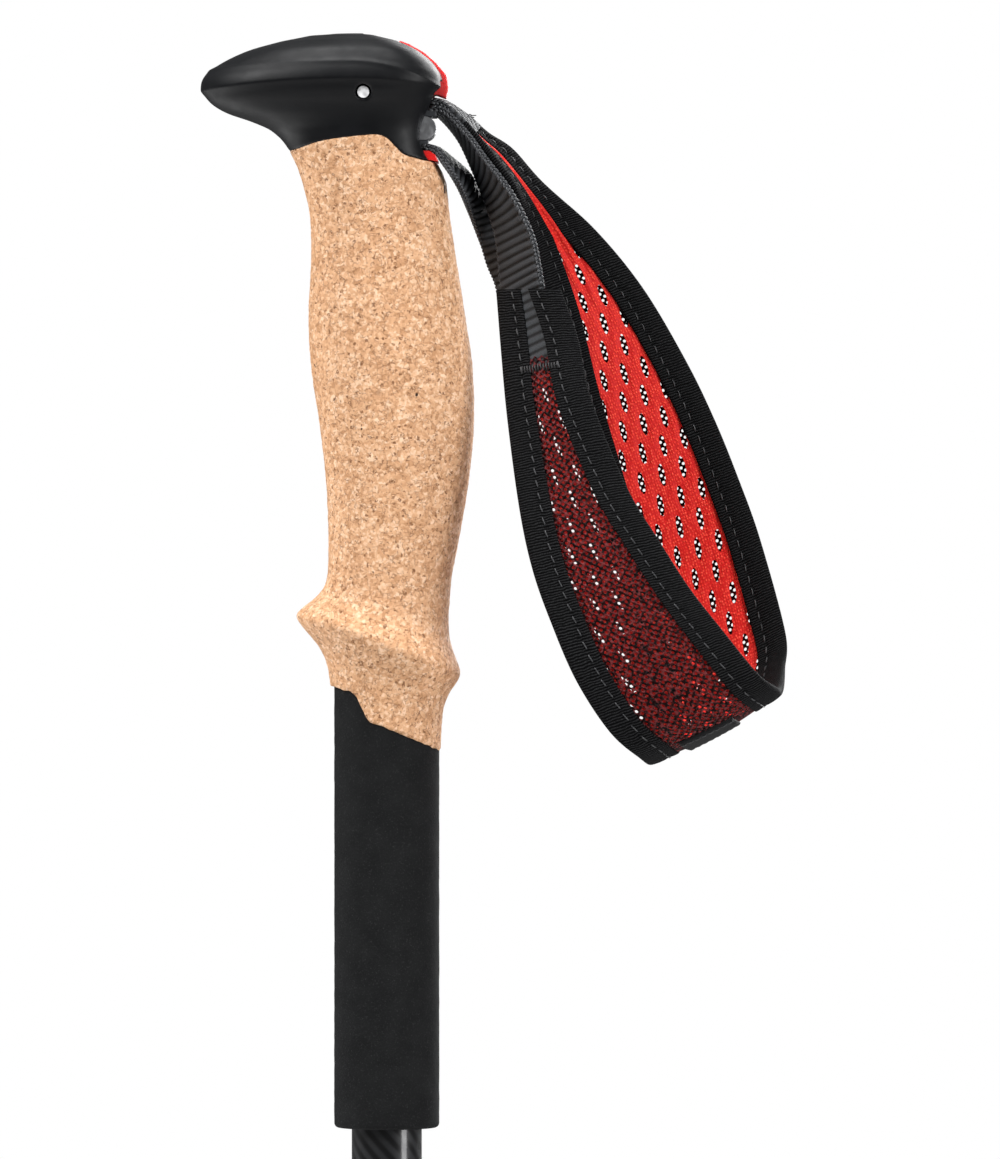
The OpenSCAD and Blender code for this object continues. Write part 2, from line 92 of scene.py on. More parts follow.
# Strap lock in the head
PIN = (-5.8, 84.3)    # X and Z of the cross pin
CHAMBER = [[-10.6, 79], [-10.6, 90], [-4, 92.6], [2, 93.4], [7, 92], [11.5, 88], [22, 86],
           [22, 69.8], [5.5, 69.8], [2.2, 71.5], [1.2, 75.5], [-3, 79]]
TAB_SLOT = [[0.9, 88], [-0.4, 104], [24, 104], [24, 82], [12, 84]]
LIP = [[8, 67.6], [8, 69.7], [11, 69.7], [12.6, 68.6], [13.4, 66.9]]
CAM = [[-5.8, 80], [-5.8, 88.6], [2.5, 88.4], [8, 86], [10.4, 83], [9.4, 80.7], [4, 80.7]]
TAB = [[3.2, 98.2], [5.7, 97.3], [9.6, 95.1], [12.6, 92.5], [15.4, 89.2], [15.9, 86],
       [15.3, 83.3], [12.9, 84.2], [9, 84.2], [4, 86]]
GROOVES = ((8.4, 95.4), (10.8, 93.6), (12.9, 91.6))    # X and Z of the tab's grip grooves
CAM_HALF = 7.8
CHAMBER_W = 16.4
TAB_W = 8.4
PIN_RECESS = 2.05     # Radius of the recess round each end of the pin
PIN_FLOOR = 16.4      # How far from the middle the recess starts

# Wrist band, front end to back end, and the webbing strands: the two edges of each station
BAND = [
    [[28.3, -2.5, 34], [44.5, -13, 34]], [[29.3, -6.5, 20], [49, -15.5, 21.5]],
    [[31, -12, 1], [52.3, -19.5, 6]], [[34, -18, -22], [61.6, -23, -17]],
    [[37.3, -21.5, -37.5], [69.4, -25, -30]], [[42, -24, -51], [77.4, -26, -42.5]],
    [[48.5, -25.5, -66], [85.6, -26.5, -53]], [[57, -24.5, -79], [94.6, -25, -64]],
    [[64.5, -17, -85.5], [99.8, -17, -67.8]], [[67, 0, -87], [101.8, 0, -68]],
    [[67.5, 17, -83], [102.8, 17, -62.5]], [[67.5, 23, -71], [103.2, 24.5, -54]],
    [[61.5, 25, -45], [96.8, 27.5, -30]], [[57, 23.5, -28.5], [91.3, 28, -14.5]],
    [[52, 20, -11.5], [85, 27, 1]], [[47, 16, 6], [77.4, 25, 16.5]],
    [[42, 12, 27], [66, 21.5, 35.5]], [[36.5, 7, 44.5], [53, 17, 51]],
    [[33, -4.5, 58.5], [39.4, 9, 62.5]], [[27.5, -6.5, 67], [32, 8, 70.5]],
    [[23.8, -7, 72], [25.8, 7.5, 74.5]], [[19.6, -7.2, 77], [20.4, 7.5, 79.2]],
]
STRAND_UPPER = [
    [[10.2, 7.6, 80.4], [10.2, -7.6, 80.4]], [[13.6, 7.6, 79.4], [14.6, -7.7, 80]],
    [[18.6, 7.4, 73.6], [20.6, -7.8, 74]], [[22, 7.3, 66.5], [25.4, -7.8, 67.5]],
    [[24.7, 6.5, 59.5], [31.2, -7.4, 60]], [[26.5, 5, 54.5], [34.8, -7.8, 53.5]],
    [[28.2, 4, 48.5], [37.6, -8.2, 47]], [[29.1, 3, 41], [39, -8.6, 40.5]],
    [[29.6, 1.5, 35], [40, -9.6, 35]], [[30.2, -1.5, 26], [41.6, -11.2, 27]],
]
STRAND_LOWER = [
    [[8.6, -7.6, 70.9], [8.6, 7.6, 70.9]], [[12.4, -7.7, 69.9], [12.8, 7.6, 70.6]],
    [[15, -7.8, 66.4], [16.9, 7.5, 67.7]], [[17.6, -7.7, 62.5], [21, 7.3, 64]],
    [[20, -3.5, 57.9], [25, 10.8, 58.5]], [[22.7, 5.5, 50.9], [35, 13, 51]],
    [[26, 9, 41.4], [37, -1.5, 41.5]], [[28.5, 5.2, 35], [39, -6, 35]],
    [[29.4, 2, 27], [40.4, -8.4, 28]],
]
STRAND_TOP = [
    [[10.4, -7.4, 82.4], [10.4, 7.4, 82.4]], [[14.2, -7.4, 81.8], [14.6, 7.4, 82.6]],
    [[19.4, -7.0, 77.2], [20.1, 7.2, 79.3]], [[22.4, -6.6, 73.8], [23.8, 7.0, 76.1]],
]


# ---- Curves and grids ----

def catmull(a, b, c, d, t):
    """Point at share t of the smooth curve from b to c, with a before them and d after"""
    return 0.5 * (2 * b + (c - a) * t + (2 * a - 5 * b + 4 * c - d) * t**2 + (3 * b - a - 3 * c + d) * t**3)


def spline(points, steps):
    """Smooth curve through the points, with steps pieces between each two"""
    p = np.asarray(points, float)
    i = np.repeat(np.arange(len(p) - 1), steps)
    t = np.tile(np.arange(steps) / steps, len(p) - 1).reshape((-1,) + (1,) * (p.ndim - 1))
    curve = catmull(*(p[np.clip(i + k, 0, len(p) - 1)] for k in (-1, 0, 1, 2)), t)
    return np.concatenate([curve, p[-1:]])


def unit(v):
    return v / np.maximum(np.linalg.norm(v, axis=-1, keepdims=True), 1e-9)


def mix(a, b, t):
    return a + (b - a) * t


def smoothstep(low, high, x):
    t = np.clip((x - low) / (high - low), 0, 1)
    return t * t * (3 - 2 * t)


def grid(rows, cols):
    return np.meshgrid(rows, cols, indexing="ij")


def grid_faces(rows, cols, wrap_rows=False, wrap_cols=False):
    """Quads of a grid of points that are numbered row by row"""
    r = np.arange(rows if wrap_rows else rows - 1)[:, None]
    c = np.arange(cols if wrap_cols else cols - 1)[None, :]
    r2, c2 = (r + 1) % rows, (c + 1) % cols
    quads = [r * cols + c, r * cols + c2, r2 * cols + c2, r2 * cols + c]
    return np.stack(np.broadcast_arrays(*quads), -1).reshape(-1, 4)


def capped(rings, sides):
    """Faces of a tube that is closed at both ends, its points numbered ring by ring"""
    n = rings * sides
    ends = [tuple(range(sides))[::-1], tuple(range(n - sides, n))]
    return list(grid_faces(rings, sides, wrap_cols=True)) + ends


def slab(top, under):
    """Closed plate between two grids of points"""
    n, m = top.shape[:2]
    count = n * m
    rim = list(range(m)) + [r * m + m - 1 for r in range(1, n)]
    rim += [count - 1 - k for k in range(1, m)] + [r * m for r in range(n - 2, 0, -1)]
    faces = list(grid_faces(n, m)) + [tuple(k + count for k in f[::-1]) for f in grid_faces(n, m)]
    faces += [(b, a, a + count, b + count) for a, b in zip(rim, rim[1:] + rim[:1])]
    return np.concatenate([top.reshape(-1, 3), under.reshape(-1, 3)]), faces


def tuples(faces):
    return [tuple(int(k) for k in f) for f in faces]


def make_mesh(name, points, faces, material, cloth=None):
    """A mesh object from points in millimetres. cloth gives each point's place on the flat cloth"""
    data = bpy.data.meshes.new(name)
    data.from_pydata((np.asarray(points, float).reshape(-1, 3) * MM).tolist(), [], tuples(faces))
    if cloth is not None:
        flat = np.zeros((len(data.vertices), 3), np.float32)
        flat[:, :2] = np.asarray(cloth).reshape(-1, 2)
        data.attributes.new("cloth", "FLOAT_VECTOR", "POINT").data.foreach_set("vector", flat.ravel())
    data.shade_smooth()
    data.materials.append(material)
    piece = bpy.data.objects.new(name, data)
    bpy.context.scene.collection.objects.link(piece)
    return piece


def add_piece(name, points, faces, material, slot, body="wrist_strap", cloth=None):
    piece = make_mesh(name, points, faces, material, cloth)
    if body:
        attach(piece, body)
    return piece


def closed(points, faces):
    """A closed shape with its faces turned outwards"""
    points, faces = np.asarray(points, float).reshape(-1, 3), tuples(faces)
    fans = np.array([(f[0], f[k], f[k + 1]) for f in faces for k in range(1, len(f) - 1)])
    a, b, c = (points[fans[:, k]] - points.mean(0) for k in range(3))
    volume = (a * np.cross(b, c)).sum()
    return points, (faces if volume > 0 else [f[::-1] for f in faces])


def merge_solids(solids):
    """One list of points and one of faces from several closed shapes"""
    points, faces, start = [], [], 0
    for p, f in (closed(*solid) for solid in solids):
        points.append(p)
        faces += [tuple(k + start for k in face) for face in f]
        start += len(p)
    return np.concatenate(points), faces


def tube(path, radius, sides=6):
    """Closed round tube along a path; radius may be one number or one for each point"""
    path = np.asarray(path, float)
    ahead = unit(np.gradient(path, axis=0))
    side = unit(np.cross(ahead, [0.31, 0.52, 0.79]))
    up = np.cross(side, ahead)
    a = TAU * np.arange(sides) / sides
    r = np.broadcast_to(radius, len(path))[:, None, None]
    ring = np.cos(a)[None, :, None] * side[:, None] + np.sin(a)[None, :, None] * up[:, None]
    return (path[:, None] + r * ring).reshape(-1, 3), capped(len(path), sides)


def prism(outline, half_width):
    """Plate with an outline in X and Z, from -half_width to half_width along Y"""
    return [[x, s * half_width, z] for s in (-1, 1) for x, z in outline], capped(2, len(outline))


def rod_y(x, z, radius, y0, y1, sides=48):
    """Round rod along Y, from y0 to y1"""
    a = TAU * np.arange(sides) / sides
    points = [[x + radius * math.cos(k), y, z + radius * math.sin(k)] for y in (y0, y1) for k in a]
    return points, capped(2, sides)


def modifier(piece, kind, **settings):
    made = piece.modifiers.new(kind.lower(), kind)
    for key, value in settings.items():
        setattr(made, key, value)


# ---- Materials ----

RIB_PITCH = 2.25      # Webbing ribs, in millimetres along it
RIB_SLANT = 0.35


class Paint:
    """A material's node tree, with short calls for the nodes that colour it"""

    def __init__(self, name, specular=0.5, **principled):
        self.material = bpy.data.materials.new(name)
        self.material.use_nodes = True
        self.tree = self.material.node_tree
        self.shader = self.tree.nodes["Principled BSDF"]
        self.set(Specular_IOR_Level=specular, **principled)

    def put(self, socket, value):
        if isinstance(value, bpy.types.NodeSocket):
            self.tree.links.new(value, socket)
        elif isinstance(value, (tuple, list)) and len(value) == 3 and socket.type == "RGBA":
            socket.default_value = (*value, 1)
        else:
            socket.default_value = value

    def set(self, **sockets):
        for key, value in sockets.items():
            self.put(self.shader.inputs[key.replace("_", " ")], value)

    def node(self, kind, *inputs, **settings):
        made = self.tree.nodes.new("ShaderNode" + kind)
        for key, value in settings.items():
            setattr(made, key, value)
        for key, value in inputs:
            self.put(made.inputs[key], value)
        return made

    def place(self):
        return self.node("TexCoord").outputs["Object"]

    def cloth(self):
        """Place on the flat cloth in millimetres: across, along"""
        return self.node("Attribute", attribute_name="cloth").outputs["Vector"]

    def scaled(self, vector, x, y, z):
        return self.node("VectorMath", (0, vector), (1, (x, y, z)), operation="MULTIPLY").outputs[0]

    def warped(self, vector, scale, reach):
        """The place moved about by noise, by up to reach along each axis"""
        drift = self.node("TexNoise", ("Vector", vector), ("Scale", scale), ("Detail", 2.0)).outputs["Color"]
        inputs = (0, drift), (1, reach), (2, vector)
        return self.node("VectorMath", *inputs, operation="MULTIPLY_ADD").outputs[0]

    def noise(self, vector, scale, detail=3.0, roughness=0.5):
        made = self.node("TexNoise", ("Vector", vector), ("Scale", scale), ("Detail", detail),
                         ("Roughness", roughness))
        return made.outputs["Fac"]

    def cells(self, vector, scale, output="Distance", feature="F1", randomness=1.0):
        made = self.node("TexVoronoi", ("Vector", vector), feature=feature)
        made.inputs["Scale"].default_value = scale
        made.inputs["Randomness"].default_value = randomness
        return made.outputs[output]

    def calc(self, operation, a, b=0.5):
        return self.node("Math", (0, a), (1, b), operation=operation).outputs[0]

    def add(self, a, b):
        return self.calc("ADD", a, b)

    def mul(self, a, b):
        return self.calc("MULTIPLY", a, b)

    def fit(self, value, low, high, to_low=0.0, to_high=1.0):
        made = self.node("MapRange", ("Value", value), ("From Min", low), ("From Max", high),
                         ("To Min", to_low), ("To Max", to_high), interpolation_type="SMOOTHSTEP")
        return made.outputs["Result"]

    def ramp(self, value, *stops):
        made = self.node("ValToRGB", ("Fac", value))
        ramp = made.color_ramp
        while len(ramp.elements) < len(stops):
            ramp.elements.new(0.5)
        for element, (at, colour) in zip(ramp.elements, stops):
            element.position = at
            element.color = (*colour, 1)
        return made.outputs["Color"]

    def blend(self, share, a, b):
        made = self.node("Mix", data_type="RGBA")
        self.put(made.inputs[0], share)
        self.put(made.inputs[6], a)
        self.put(made.inputs[7], b)
        return made.outputs[2]

    def split(self, vector):
        return self.node("SeparateXYZ", ("Vector", vector)).outputs

    def bump(self, height, depth_mm, strength=1.0, after=None):
        """Normal that rises by depth_mm where height goes from 0 to 1"""
        made = self.node("Bump", ("Strength", strength), ("Distance", depth_mm * MM),
                         ("Height", height))
        if after is not None:
            self.put(made.inputs["Normal"], after)
        return made.outputs["Normal"]

    def finish(self, colour, roughness, normal):
        self.set(Base_Color=colour, Roughness=roughness, Normal=normal)
        return self.material


def soft_touch():
    """Matt rubbery black of the head, with a fine moulded grain and faint rub marks"""
    p = Paint("soft_touch", 0.18)
    at = p.place()
    rubbed = p.fit(p.noise(at, 240, 5), 0.3, 0.75, 0.43, 0.54)
    grain = p.bump(p.noise(at, 5200, 2), 0.02, 0.35, p.bump(p.noise(at, 900, 2), 0.02, 0.5))
    colour = p.ramp(p.noise(at, 70, 4), (0.3, (0.0020, 0.0022, 0.0029)), (0.7, (0.0040, 0.0044, 0.0054)))
    return p.finish(colour, rubbed, grain)


def hard_black(name="hard_black", tone=0.012, roughness=0.38):
    """Glass-filled nylon with a fine spark-eroded texture and patches of dust"""
    p = Paint(name, 0.25)
    at = p.place()
    texture = p.noise(at, 3800, 3)
    dust = p.fit(p.noise(at, 55, 5), 0.45, 0.8, 0, 1)
    colour = p.blend(dust, (tone, tone, tone * 1.06), (tone * 1.7, tone * 1.7, tone * 1.7))
    return p.finish(colour, p.fit(dust, 0, 1, roughness, roughness + 0.14), p.bump(texture, 0.03, 0.6))


def cork_material():
    """Agglomerated cork: pale granules of mixed tone, brown joints between them, dark pits"""
    p = Paint("cork", 0.25)
    at = p.place()
    bent = p.warped(at, 500.0, (0.0011, 0.0011, 0.0011))
    large = p.split(p.cells(bent, 640, "Color"))[0]
    grain = p.split(p.cells(bent, 1500, "Color"))
    tone = p.add(p.mul(large, 0.42), p.mul(grain[1], 0.58))
    base = p.ramp(tone, (0.12, (0.50, 0.262, 0.130)), (0.38, (0.62, 0.344, 0.185)),
                  (0.60, (0.69, 0.405, 0.230)), (0.88, (0.82, 0.55, 0.365)))
    joint = p.mul(p.fit(p.cells(bent, 640, feature="DISTANCE_TO_EDGE"), 0.0, 0.11, 1, 0),
                  p.fit(p.noise(at, 420, 3), 0.42, 0.70))
    crack = p.mul(p.fit(p.cells(bent, 1500, feature="DISTANCE_TO_EDGE"), 0.0, 0.16, 1, 0),
                  p.fit(p.noise(at, 900, 3), 0.52, 0.66))
    stretched = p.scaled(bent, 1, 1, 0.55)
    pit_size = p.split(p.cells(stretched, 240, "Color"))[2]
    pit = p.calc("LESS_THAN", p.cells(stretched, 240), p.mul(p.calc("POWER", pit_size, 5.0), 0.17))
    fleck = p.fit(p.noise(at, 1700, 2), 0.62, 0.70)
    dark = p.calc("MAXIMUM", p.mul(joint, 0.55), p.mul(crack, 0.85))
    dark = p.calc("MAXIMUM", dark, p.mul(fleck, 0.6))
    bark = p.mul(p.calc("GREATER_THAN", grain[2], 0.965), p.fit(p.noise(at, 2600, 2), 0.40, 0.52))
    dark = p.calc("MAXIMUM", dark, p.mul(bark, 0.9))
    colour = p.blend(dark, base, (0.19, 0.080, 0.033))
    colour = p.blend(pit, colour, (0.035, 0.016, 0.008))
    height = p.calc("SUBTRACT", p.mul(tone, 0.35), p.calc("MAXIMUM", dark, pit))
    return p.finish(colour, p.fit(tone, 0, 1, 0.82, 0.66), p.bump(height, 0.16, 0.8))


def foam_material():
    """Closed-cell EVA foam: near-black, matt, with fine grey cells"""
    p = Paint("foam", 0.08)
    at = p.place()
    cell = p.cells(at, 2600)
    speck = p.mul(p.fit(p.noise(at, 2300, 2), 0.50, 0.72), p.fit(cell, 0.2, 0.6, 1, 0.2))
    cloud = p.noise(at, 160, 3)
    base = p.ramp(cloud, (0.35, (0.0085, 0.0088, 0.0092)), (0.7, (0.0118, 0.0122, 0.0126)))
    return p.finish(p.blend(p.mul(speck, 0.55), base, (0.040, 0.040, 0.041)),
                    0.86, p.bump(cell, 0.10, 0.8, p.bump(cloud, 0.15, 0.5)))


def red_plastic(name, colour, deep, glow):
    """Moulded red acetal, a little translucent, with fine handling scratches"""
    p = Paint(name, Subsurface_Weight=glow, Subsurface_Scale=0.003, Coat_Weight=0.25, Coat_Roughness=0.2)
    p.set(Subsurface_Radius=(1.0, 0.25, 0.2))
    at = p.place()
    scratch = p.noise(p.scaled(at, 1, 1, 7), 700, 4)
    return p.finish(p.ramp(p.noise(at, 150, 3), (0.3, deep), (0.7, colour)),
                    p.fit(scratch, 0.3, 0.8, 0.26, 0.42), p.bump(scratch, 0.01, 0.5))


def metal(name, tone, roughness, stretch=(1, 1, 1), depth=0.01):
    """Turned or brushed metal, with its marks along the stretched direction"""
    p = Paint(name, Metallic=1.0)
    at = p.place()
    marks = p.noise(p.scaled(at, *stretch), 900, 5)
    stain = p.noise(at, 140, 3)
    return p.finish(p.ramp(stain, (0.3, tuple(c * 0.86 for c in tone)), (0.7, tone)),
                    p.fit(marks, 0.3, 0.75, roughness * 0.8, roughness * 1.35), p.bump(marks, depth, 0.6))


def tube_material(name, bare_from):
    """Lacquered carbon tube: a twill under a glossy coat, with fine rings where the next tube slides"""
    p = Paint(name, 0.3, Coat_Weight=0.5, Coat_Roughness=0.12)
    at = p.split(p.place())
    angle = p.mul(p.calc("ARCTAN2", at[1], at[0]), 28 / TAU)
    level = p.mul(at[2], 460.0)
    over = p.calc("FRACT", p.mul(p.add(angle, level), 0.5))
    twill = p.fit(p.calc("ABSOLUTE", p.calc("SUBTRACT", over, 0.5)), 0.10, 0.40)
    rings = p.noise(p.scaled(p.place(), 1, 1, 60), 60, 3)
    worn = p.mul(p.calc("LESS_THAN", at[2], bare_from * MM), p.fit(rings, 0.5, 0.75))
    p.set(Metallic=0.2)
    return p.finish(p.blend(twill, (0.005, 0.005, 0.0055), (0.016, 0.0165, 0.018)),
                    p.add(p.fit(twill, 0, 1, 0.30, 0.44), p.mul(worn, 0.14)), p.bump(twill, 0.02, 0.5))


def webbing_material():
    """Black polyester webbing: fine cross yarns on the ribs, with a painted grey highlight on the rib tops
    and painted shade in the grooves
    """
    p = Paint("webbing", 0.3)
    at = p.cloth()
    across, along = p.split(at)[:2]
    yarn = p.calc("SINE", p.mul(across, TAU / 0.42))
    twist = p.calc("SINE", p.mul(p.add(along, p.mul(across, 0.6)), TAU / 0.31))
    weave = p.mul(p.add(yarn, twist), 0.25)
    fibre = p.noise(p.scaled(at, 1.2, 6, 1), 1.6, 4)
    slanted = p.add(along, p.mul(across, RIB_SLANT))
    rib = p.calc("ABSOLUTE", p.calc("COSINE", p.mul(slanted, math.pi / RIB_PITCH)))
    # Painted highlight on the rib tops and painted shade in the grooves, times the fibres' own random tone
    painted_rib_light_and_fibre_tone = p.mul(p.fit(rib, 0.15, 0.95, 0.12, 1), p.fit(fibre, 0.3, 0.75, 0.45, 1))
    return p.finish(p.ramp(painted_rib_light_and_fibre_tone, (0.15, (0.0018, 0.0019, 0.0022)), (0.95, (0.055, 0.059, 0.066))),
                    p.fit(fibre, 0.3, 0.7, 0.46, 0.66), p.bump(p.add(weave, fibre), 0.12, 0.9))


def thread_material(name, dark, light, roughness=0.4):
    """Twisted polyester thread"""
    p = Paint(name, 0.4)
    at = p.place()
    fibre = p.noise(at, 2600, 3)
    return p.finish(p.ramp(fibre, (0.35, dark), (0.7, light)), roughness, p.bump(fibre, 0.06, 0.8))


def tape_material():
    """Black grosgrain binding: fine ribs across the tape, each broken into single yarns, with painted
    highlights on the rib crests and painted shade between them
    """
    p = Paint("binding", 0.05)
    at = p.cloth()
    across, along = p.split(at)[:2]
    wander = p.mul(p.noise(at, 0.55, 3), 0.8)
    rib = p.fit(p.calc("SINE", p.mul(p.add(along, wander), TAU / 0.70)), -0.8, 1.0)
    yarn = p.calc("SINE", p.mul(p.add(across, p.mul(along, 0.25)), TAU / 0.46))
    fuzz = p.noise(p.scaled(at, 3, 1.2, 1), 1.9, 4)
    height = p.add(rib, p.add(p.mul(yarn, 0.18), fuzz))
    # Painted highlight on the rib crests and painted shade between the ribs, times the fuzz's own random tone
    painted_rib_light_and_fibre_tone = p.mul(rib, p.fit(fuzz, 0.35, 0.75, 0.25, 1))
    colour = p.ramp(painted_rib_light_and_fibre_tone, (0.10, (0.0008, 0.0008, 0.0010)), (0.70, (0.0265, 0.0269, 0.0281)))
    return p.finish(colour, p.fit(fuzz, 0.3, 0.7, 0.7, 0.9), p.bump(height, 0.16, 0.9))


def lining_material():
    """Bright red knit: small raised loops in rows, with painted highlights on their tops and painted shade
    between them
    """
    p = Paint("band_lining", 0.2, Sheen_Weight=0.12, Sheen_Roughness=0.35)
    p.set(Sheen_Tint=(1.0, 0.45, 0.35))
    at = p.cloth()
    loop = p.cells(p.scaled(p.warped(at, 0.35, (0.5, 0.5, 0)), 1.45, 1.2, 1), 1.0, randomness=0.45)
    rise = p.fit(loop, 0.08, 0.62, 1, 0)
    drift = p.noise(at, 0.12, 3)
    lit = p.blend(drift, (0.90, 0.030, 0.016), (0.95, 0.062, 0.030))
    # Painted shade between the loops; the loops' own red, varied at random, on their tops
    colour = p.blend(rise, (0.60, 0.010, 0.009), lit)
    # Painted highlight on the loops' crests
    colour = p.blend(p.fit(rise, 0.80, 1.0, 0, 0.5), colour, (1.0, 0.19, 0.11))
    return p.finish(colour, 0.6, p.bump(rise, 0.16, 0.8))


def net_material():
    """Dark warp-knit net with a painted highlight: dusty pink in patches placed by noise on the yarn"""
    p = Paint("band_mesh", 0.06)
    at = p.cloth()
    fibre = p.noise(at, 2.4, 3)
    painted_pink_glint = p.fit(p.noise(at, 0.9, 2), 0.45, 0.62)
    dark = p.ramp(fibre, (0.3, (0.0035, 0.0012, 0.0012)), (0.7, (0.012, 0.0028, 0.003)))
    # Painted highlight: noise patches of dusty pink over the dark yarn
    return p.finish(p.blend(p.mul(painted_pink_glint, 0.7), dark, (0.19, 0.032, 0.034)),
                    p.fit(fibre, 0.3, 0.7, 0.30, 0.5), p.bump(fibre, 0.08, 0.7))


def label_material():
    """Woven black satin label"""
    p = Paint("label", 0.08)
    at = p.cloth()
    across, along = p.split(at)[:2]
    satin = p.calc("SINE", p.mul(p.add(across, p.mul(along, 0.33)), TAU / 0.3))
    colour = p.ramp(p.fit(satin, -1, 1), (0.1, (0.003, 0.003, 0.0034)), (0.9, (0.010, 0.010, 0.011)))
    return p.finish(colour, 0.42, p.bump(satin, 0.04, 0.5))


SOFT_TOUCH = soft_touch()
HARD_BLACK = hard_black()
LEVER_BLACK = hard_black("lever", 0.022, 0.30)
CORK = cork_material()
FOAM = foam_material()
RED_LEVER = red_plastic("red_lever", (0.80, 0.075, 0.07), (0.66, 0.035, 0.04), 0.55)
RED_LIP = red_plastic("red_lip", (0.72, 0.012, 0.010), (0.60, 0.008, 0.008), 0.15)
STEEL = metal("steel", (0.78, 0.78, 0.80), 0.26)
PIN_STEEL = metal("pin_steel", (0.93, 0.93, 0.94), 0.62)
SPRING_STEEL = metal("spring_steel", (0.62, 0.62, 0.64), 0.30)
JAW = metal("jaw", (0.58, 0.59, 0.61), 0.36, (1, 6, 1), 0.02)
CARBIDE = metal("carbide", (0.34, 0.34, 0.36), 0.42, (1, 1, 6), 0.02)
WEBBING = webbing_material()
SELVAGE = thread_material("selvage", (0.004, 0.0042, 0.005), (0.085, 0.089, 0.098), 0.36)
STITCH = thread_material("stitch", (0.014, 0.014, 0.015), (0.070, 0.071, 0.075), 0.38)
DARK_STITCH = thread_material("dark_stitch", (0.010, 0.010, 0.011), (0.035, 0.035, 0.037), 0.45)
TAPE = tape_material()
LINING = lining_material()
NET = net_material()
LABEL = label_material()


# ---- Head and grip surface ----

def form_at(z, a):
    """Point of the head and grip surface at height z and angle a, both arrays"""
    z, a = np.broadcast_arrays(np.asarray(z, float), np.asarray(a, float))
    i = np.clip(np.searchsorted(-FORM[:, 0], -z, side="right") - 1, 0, len(FORM) - 2)
    t = ((FORM[i, 0] - z) / (FORM[i, 0] - FORM[i + 1, 0]))[..., None]
    row = catmull(*(FORM[np.clip(i + k, 0, len(FORM) - 1), 1:] for k in (-1, 0, 1, 2)), t)
    front, back, half = np.moveaxis(row, -1, 0)
    in_head = np.clip((z - 50) / 20, 0, 1)
    mid = mix((back - front) / 2, BEAK_AXIS, in_head)
    blunt = mix(1, 0.72, in_head)
    c, s = np.cos(a), np.sin(a)
    power = np.where(c > 0, blunt, 1)
    cx, sy = np.sign(c) * np.abs(c)**power, np.sign(s) * np.abs(s)**power
    f = flare(z, c)
    reach = np.where(c > 0, back - mid, front + mid)
    return np.stack([mid + reach * cx + f * c, half * sy + f * s, z], -1)


def flare(z, c):
    """How far the ring at the bottom of the cork stands out; it runs round the grip on a tilted plane"""
    high = np.where(c < 0, mix(4.3, FLARE_H, c * c), mix(4.3, 4, c * c))
    off = z - (-57 - 7.5 * c)
    wide = np.where(off > 0, mix(5, 6.8, (c + 1) / 2), mix(7.6, 5, (c + 1) / 2))
    return high * np.exp(-(np.abs(off) / wide)**1.7)


def joint_height(a, line):
    """Height at which a joint line drawn in the side view crosses the surface, for each angle"""
    curve = spline(line, 12)
    z = np.full(a.shape, curve[:, 1].mean())
    for _ in range(60):
        x = form_at(z, a)[..., 0]
        z = mix(z, np.interp(x, curve[:, 0], curve[:, 1]), 0.4)
    return z


def crease(p):
    """Outward rise of the two moulded edges round the head's rim, with a lit bevel between them"""
    x, z = p[..., 0] + 9, p[..., 2]

    def above(height, front_fall, back_fall):
        return height - np.where(x < 0, front_fall * (x / 37)**2, back_fall * (x / 30)**2) - z

    upper = 0.30 * np.clip(1 - np.abs(above(92.2, 1.8, 11.5)) / 1.3, 0, 1)**2
    off = above(87.9, 2.4, 3.0)
    return upper + 0.70 * np.where(off > 0, np.clip(1 - off / 2.4, 0, 1)**2, np.clip(1 + off / 4.4, 0, 1))


def outward(points):
    """Outward directions of a grid whose columns run round an upright axis"""
    along = np.gradient(points, axis=0)
    ring = np.roll(points, -1, 1) - np.roll(points, 1, 1)
    return unit(np.cross(ring, along))


def head_skin(columns=300, rows=150):
    """Closed skin of the head, down to its joint with the cork"""
    a = TAU * np.arange(columns) / columns
    low = joint_height(a, HEAD_LINE)
    t = np.linspace(0, 1, rows)[:, None]
    z = 100 - (100 - low[None]) * (1 - t)**1.8
    points = form_at(z, np.broadcast_to(a, z.shape))
    points = points + outward(points) * crease(points)[..., None]
    n = rows * columns
    faces = list(grid_faces(rows, columns, wrap_cols=True))
    points = np.concatenate([points.reshape(-1, 3), [[-11, 0, 100.12], [-6, 0, low.mean()]]])
    faces += [(n - columns + k, n - columns + (k + 1) % columns, n) for k in range(columns)]
    faces += [((k + 1) % columns, k, n + 1) for k in range(columns)]
    return points, faces


def carve(name, base, tools, voxel, rounds, material):
    """Shape cut from and joined to others, then remeshed and rounded at its edges"""
    piece = make_mesh(name, *closed(*base), material)
    extra = [make_mesh(f"{name}_tool", *closed(*solid), material) for _, solid in tools]
    for (how, _), tool in zip(tools, extra):
        modifier(piece, "BOOLEAN", operation=how, object=tool, solver="EXACT")
    modifier(piece, "REMESH", mode="VOXEL", voxel_size=voxel * MM, use_smooth_shade=True)
    modifier(piece, "SMOOTH", factor=0.5, iterations=rounds)
    graph = bpy.context.evaluated_depsgraph_get()
    shape = bpy.data.meshes.new_from_object(piece.evaluated_get(graph))
    piece.modifiers.clear()
    piece.data = shape
    shape.materials.clear()
    shape.materials.append(material)
    for tool in extra:
        bpy.data.objects.remove(tool)
    return piece


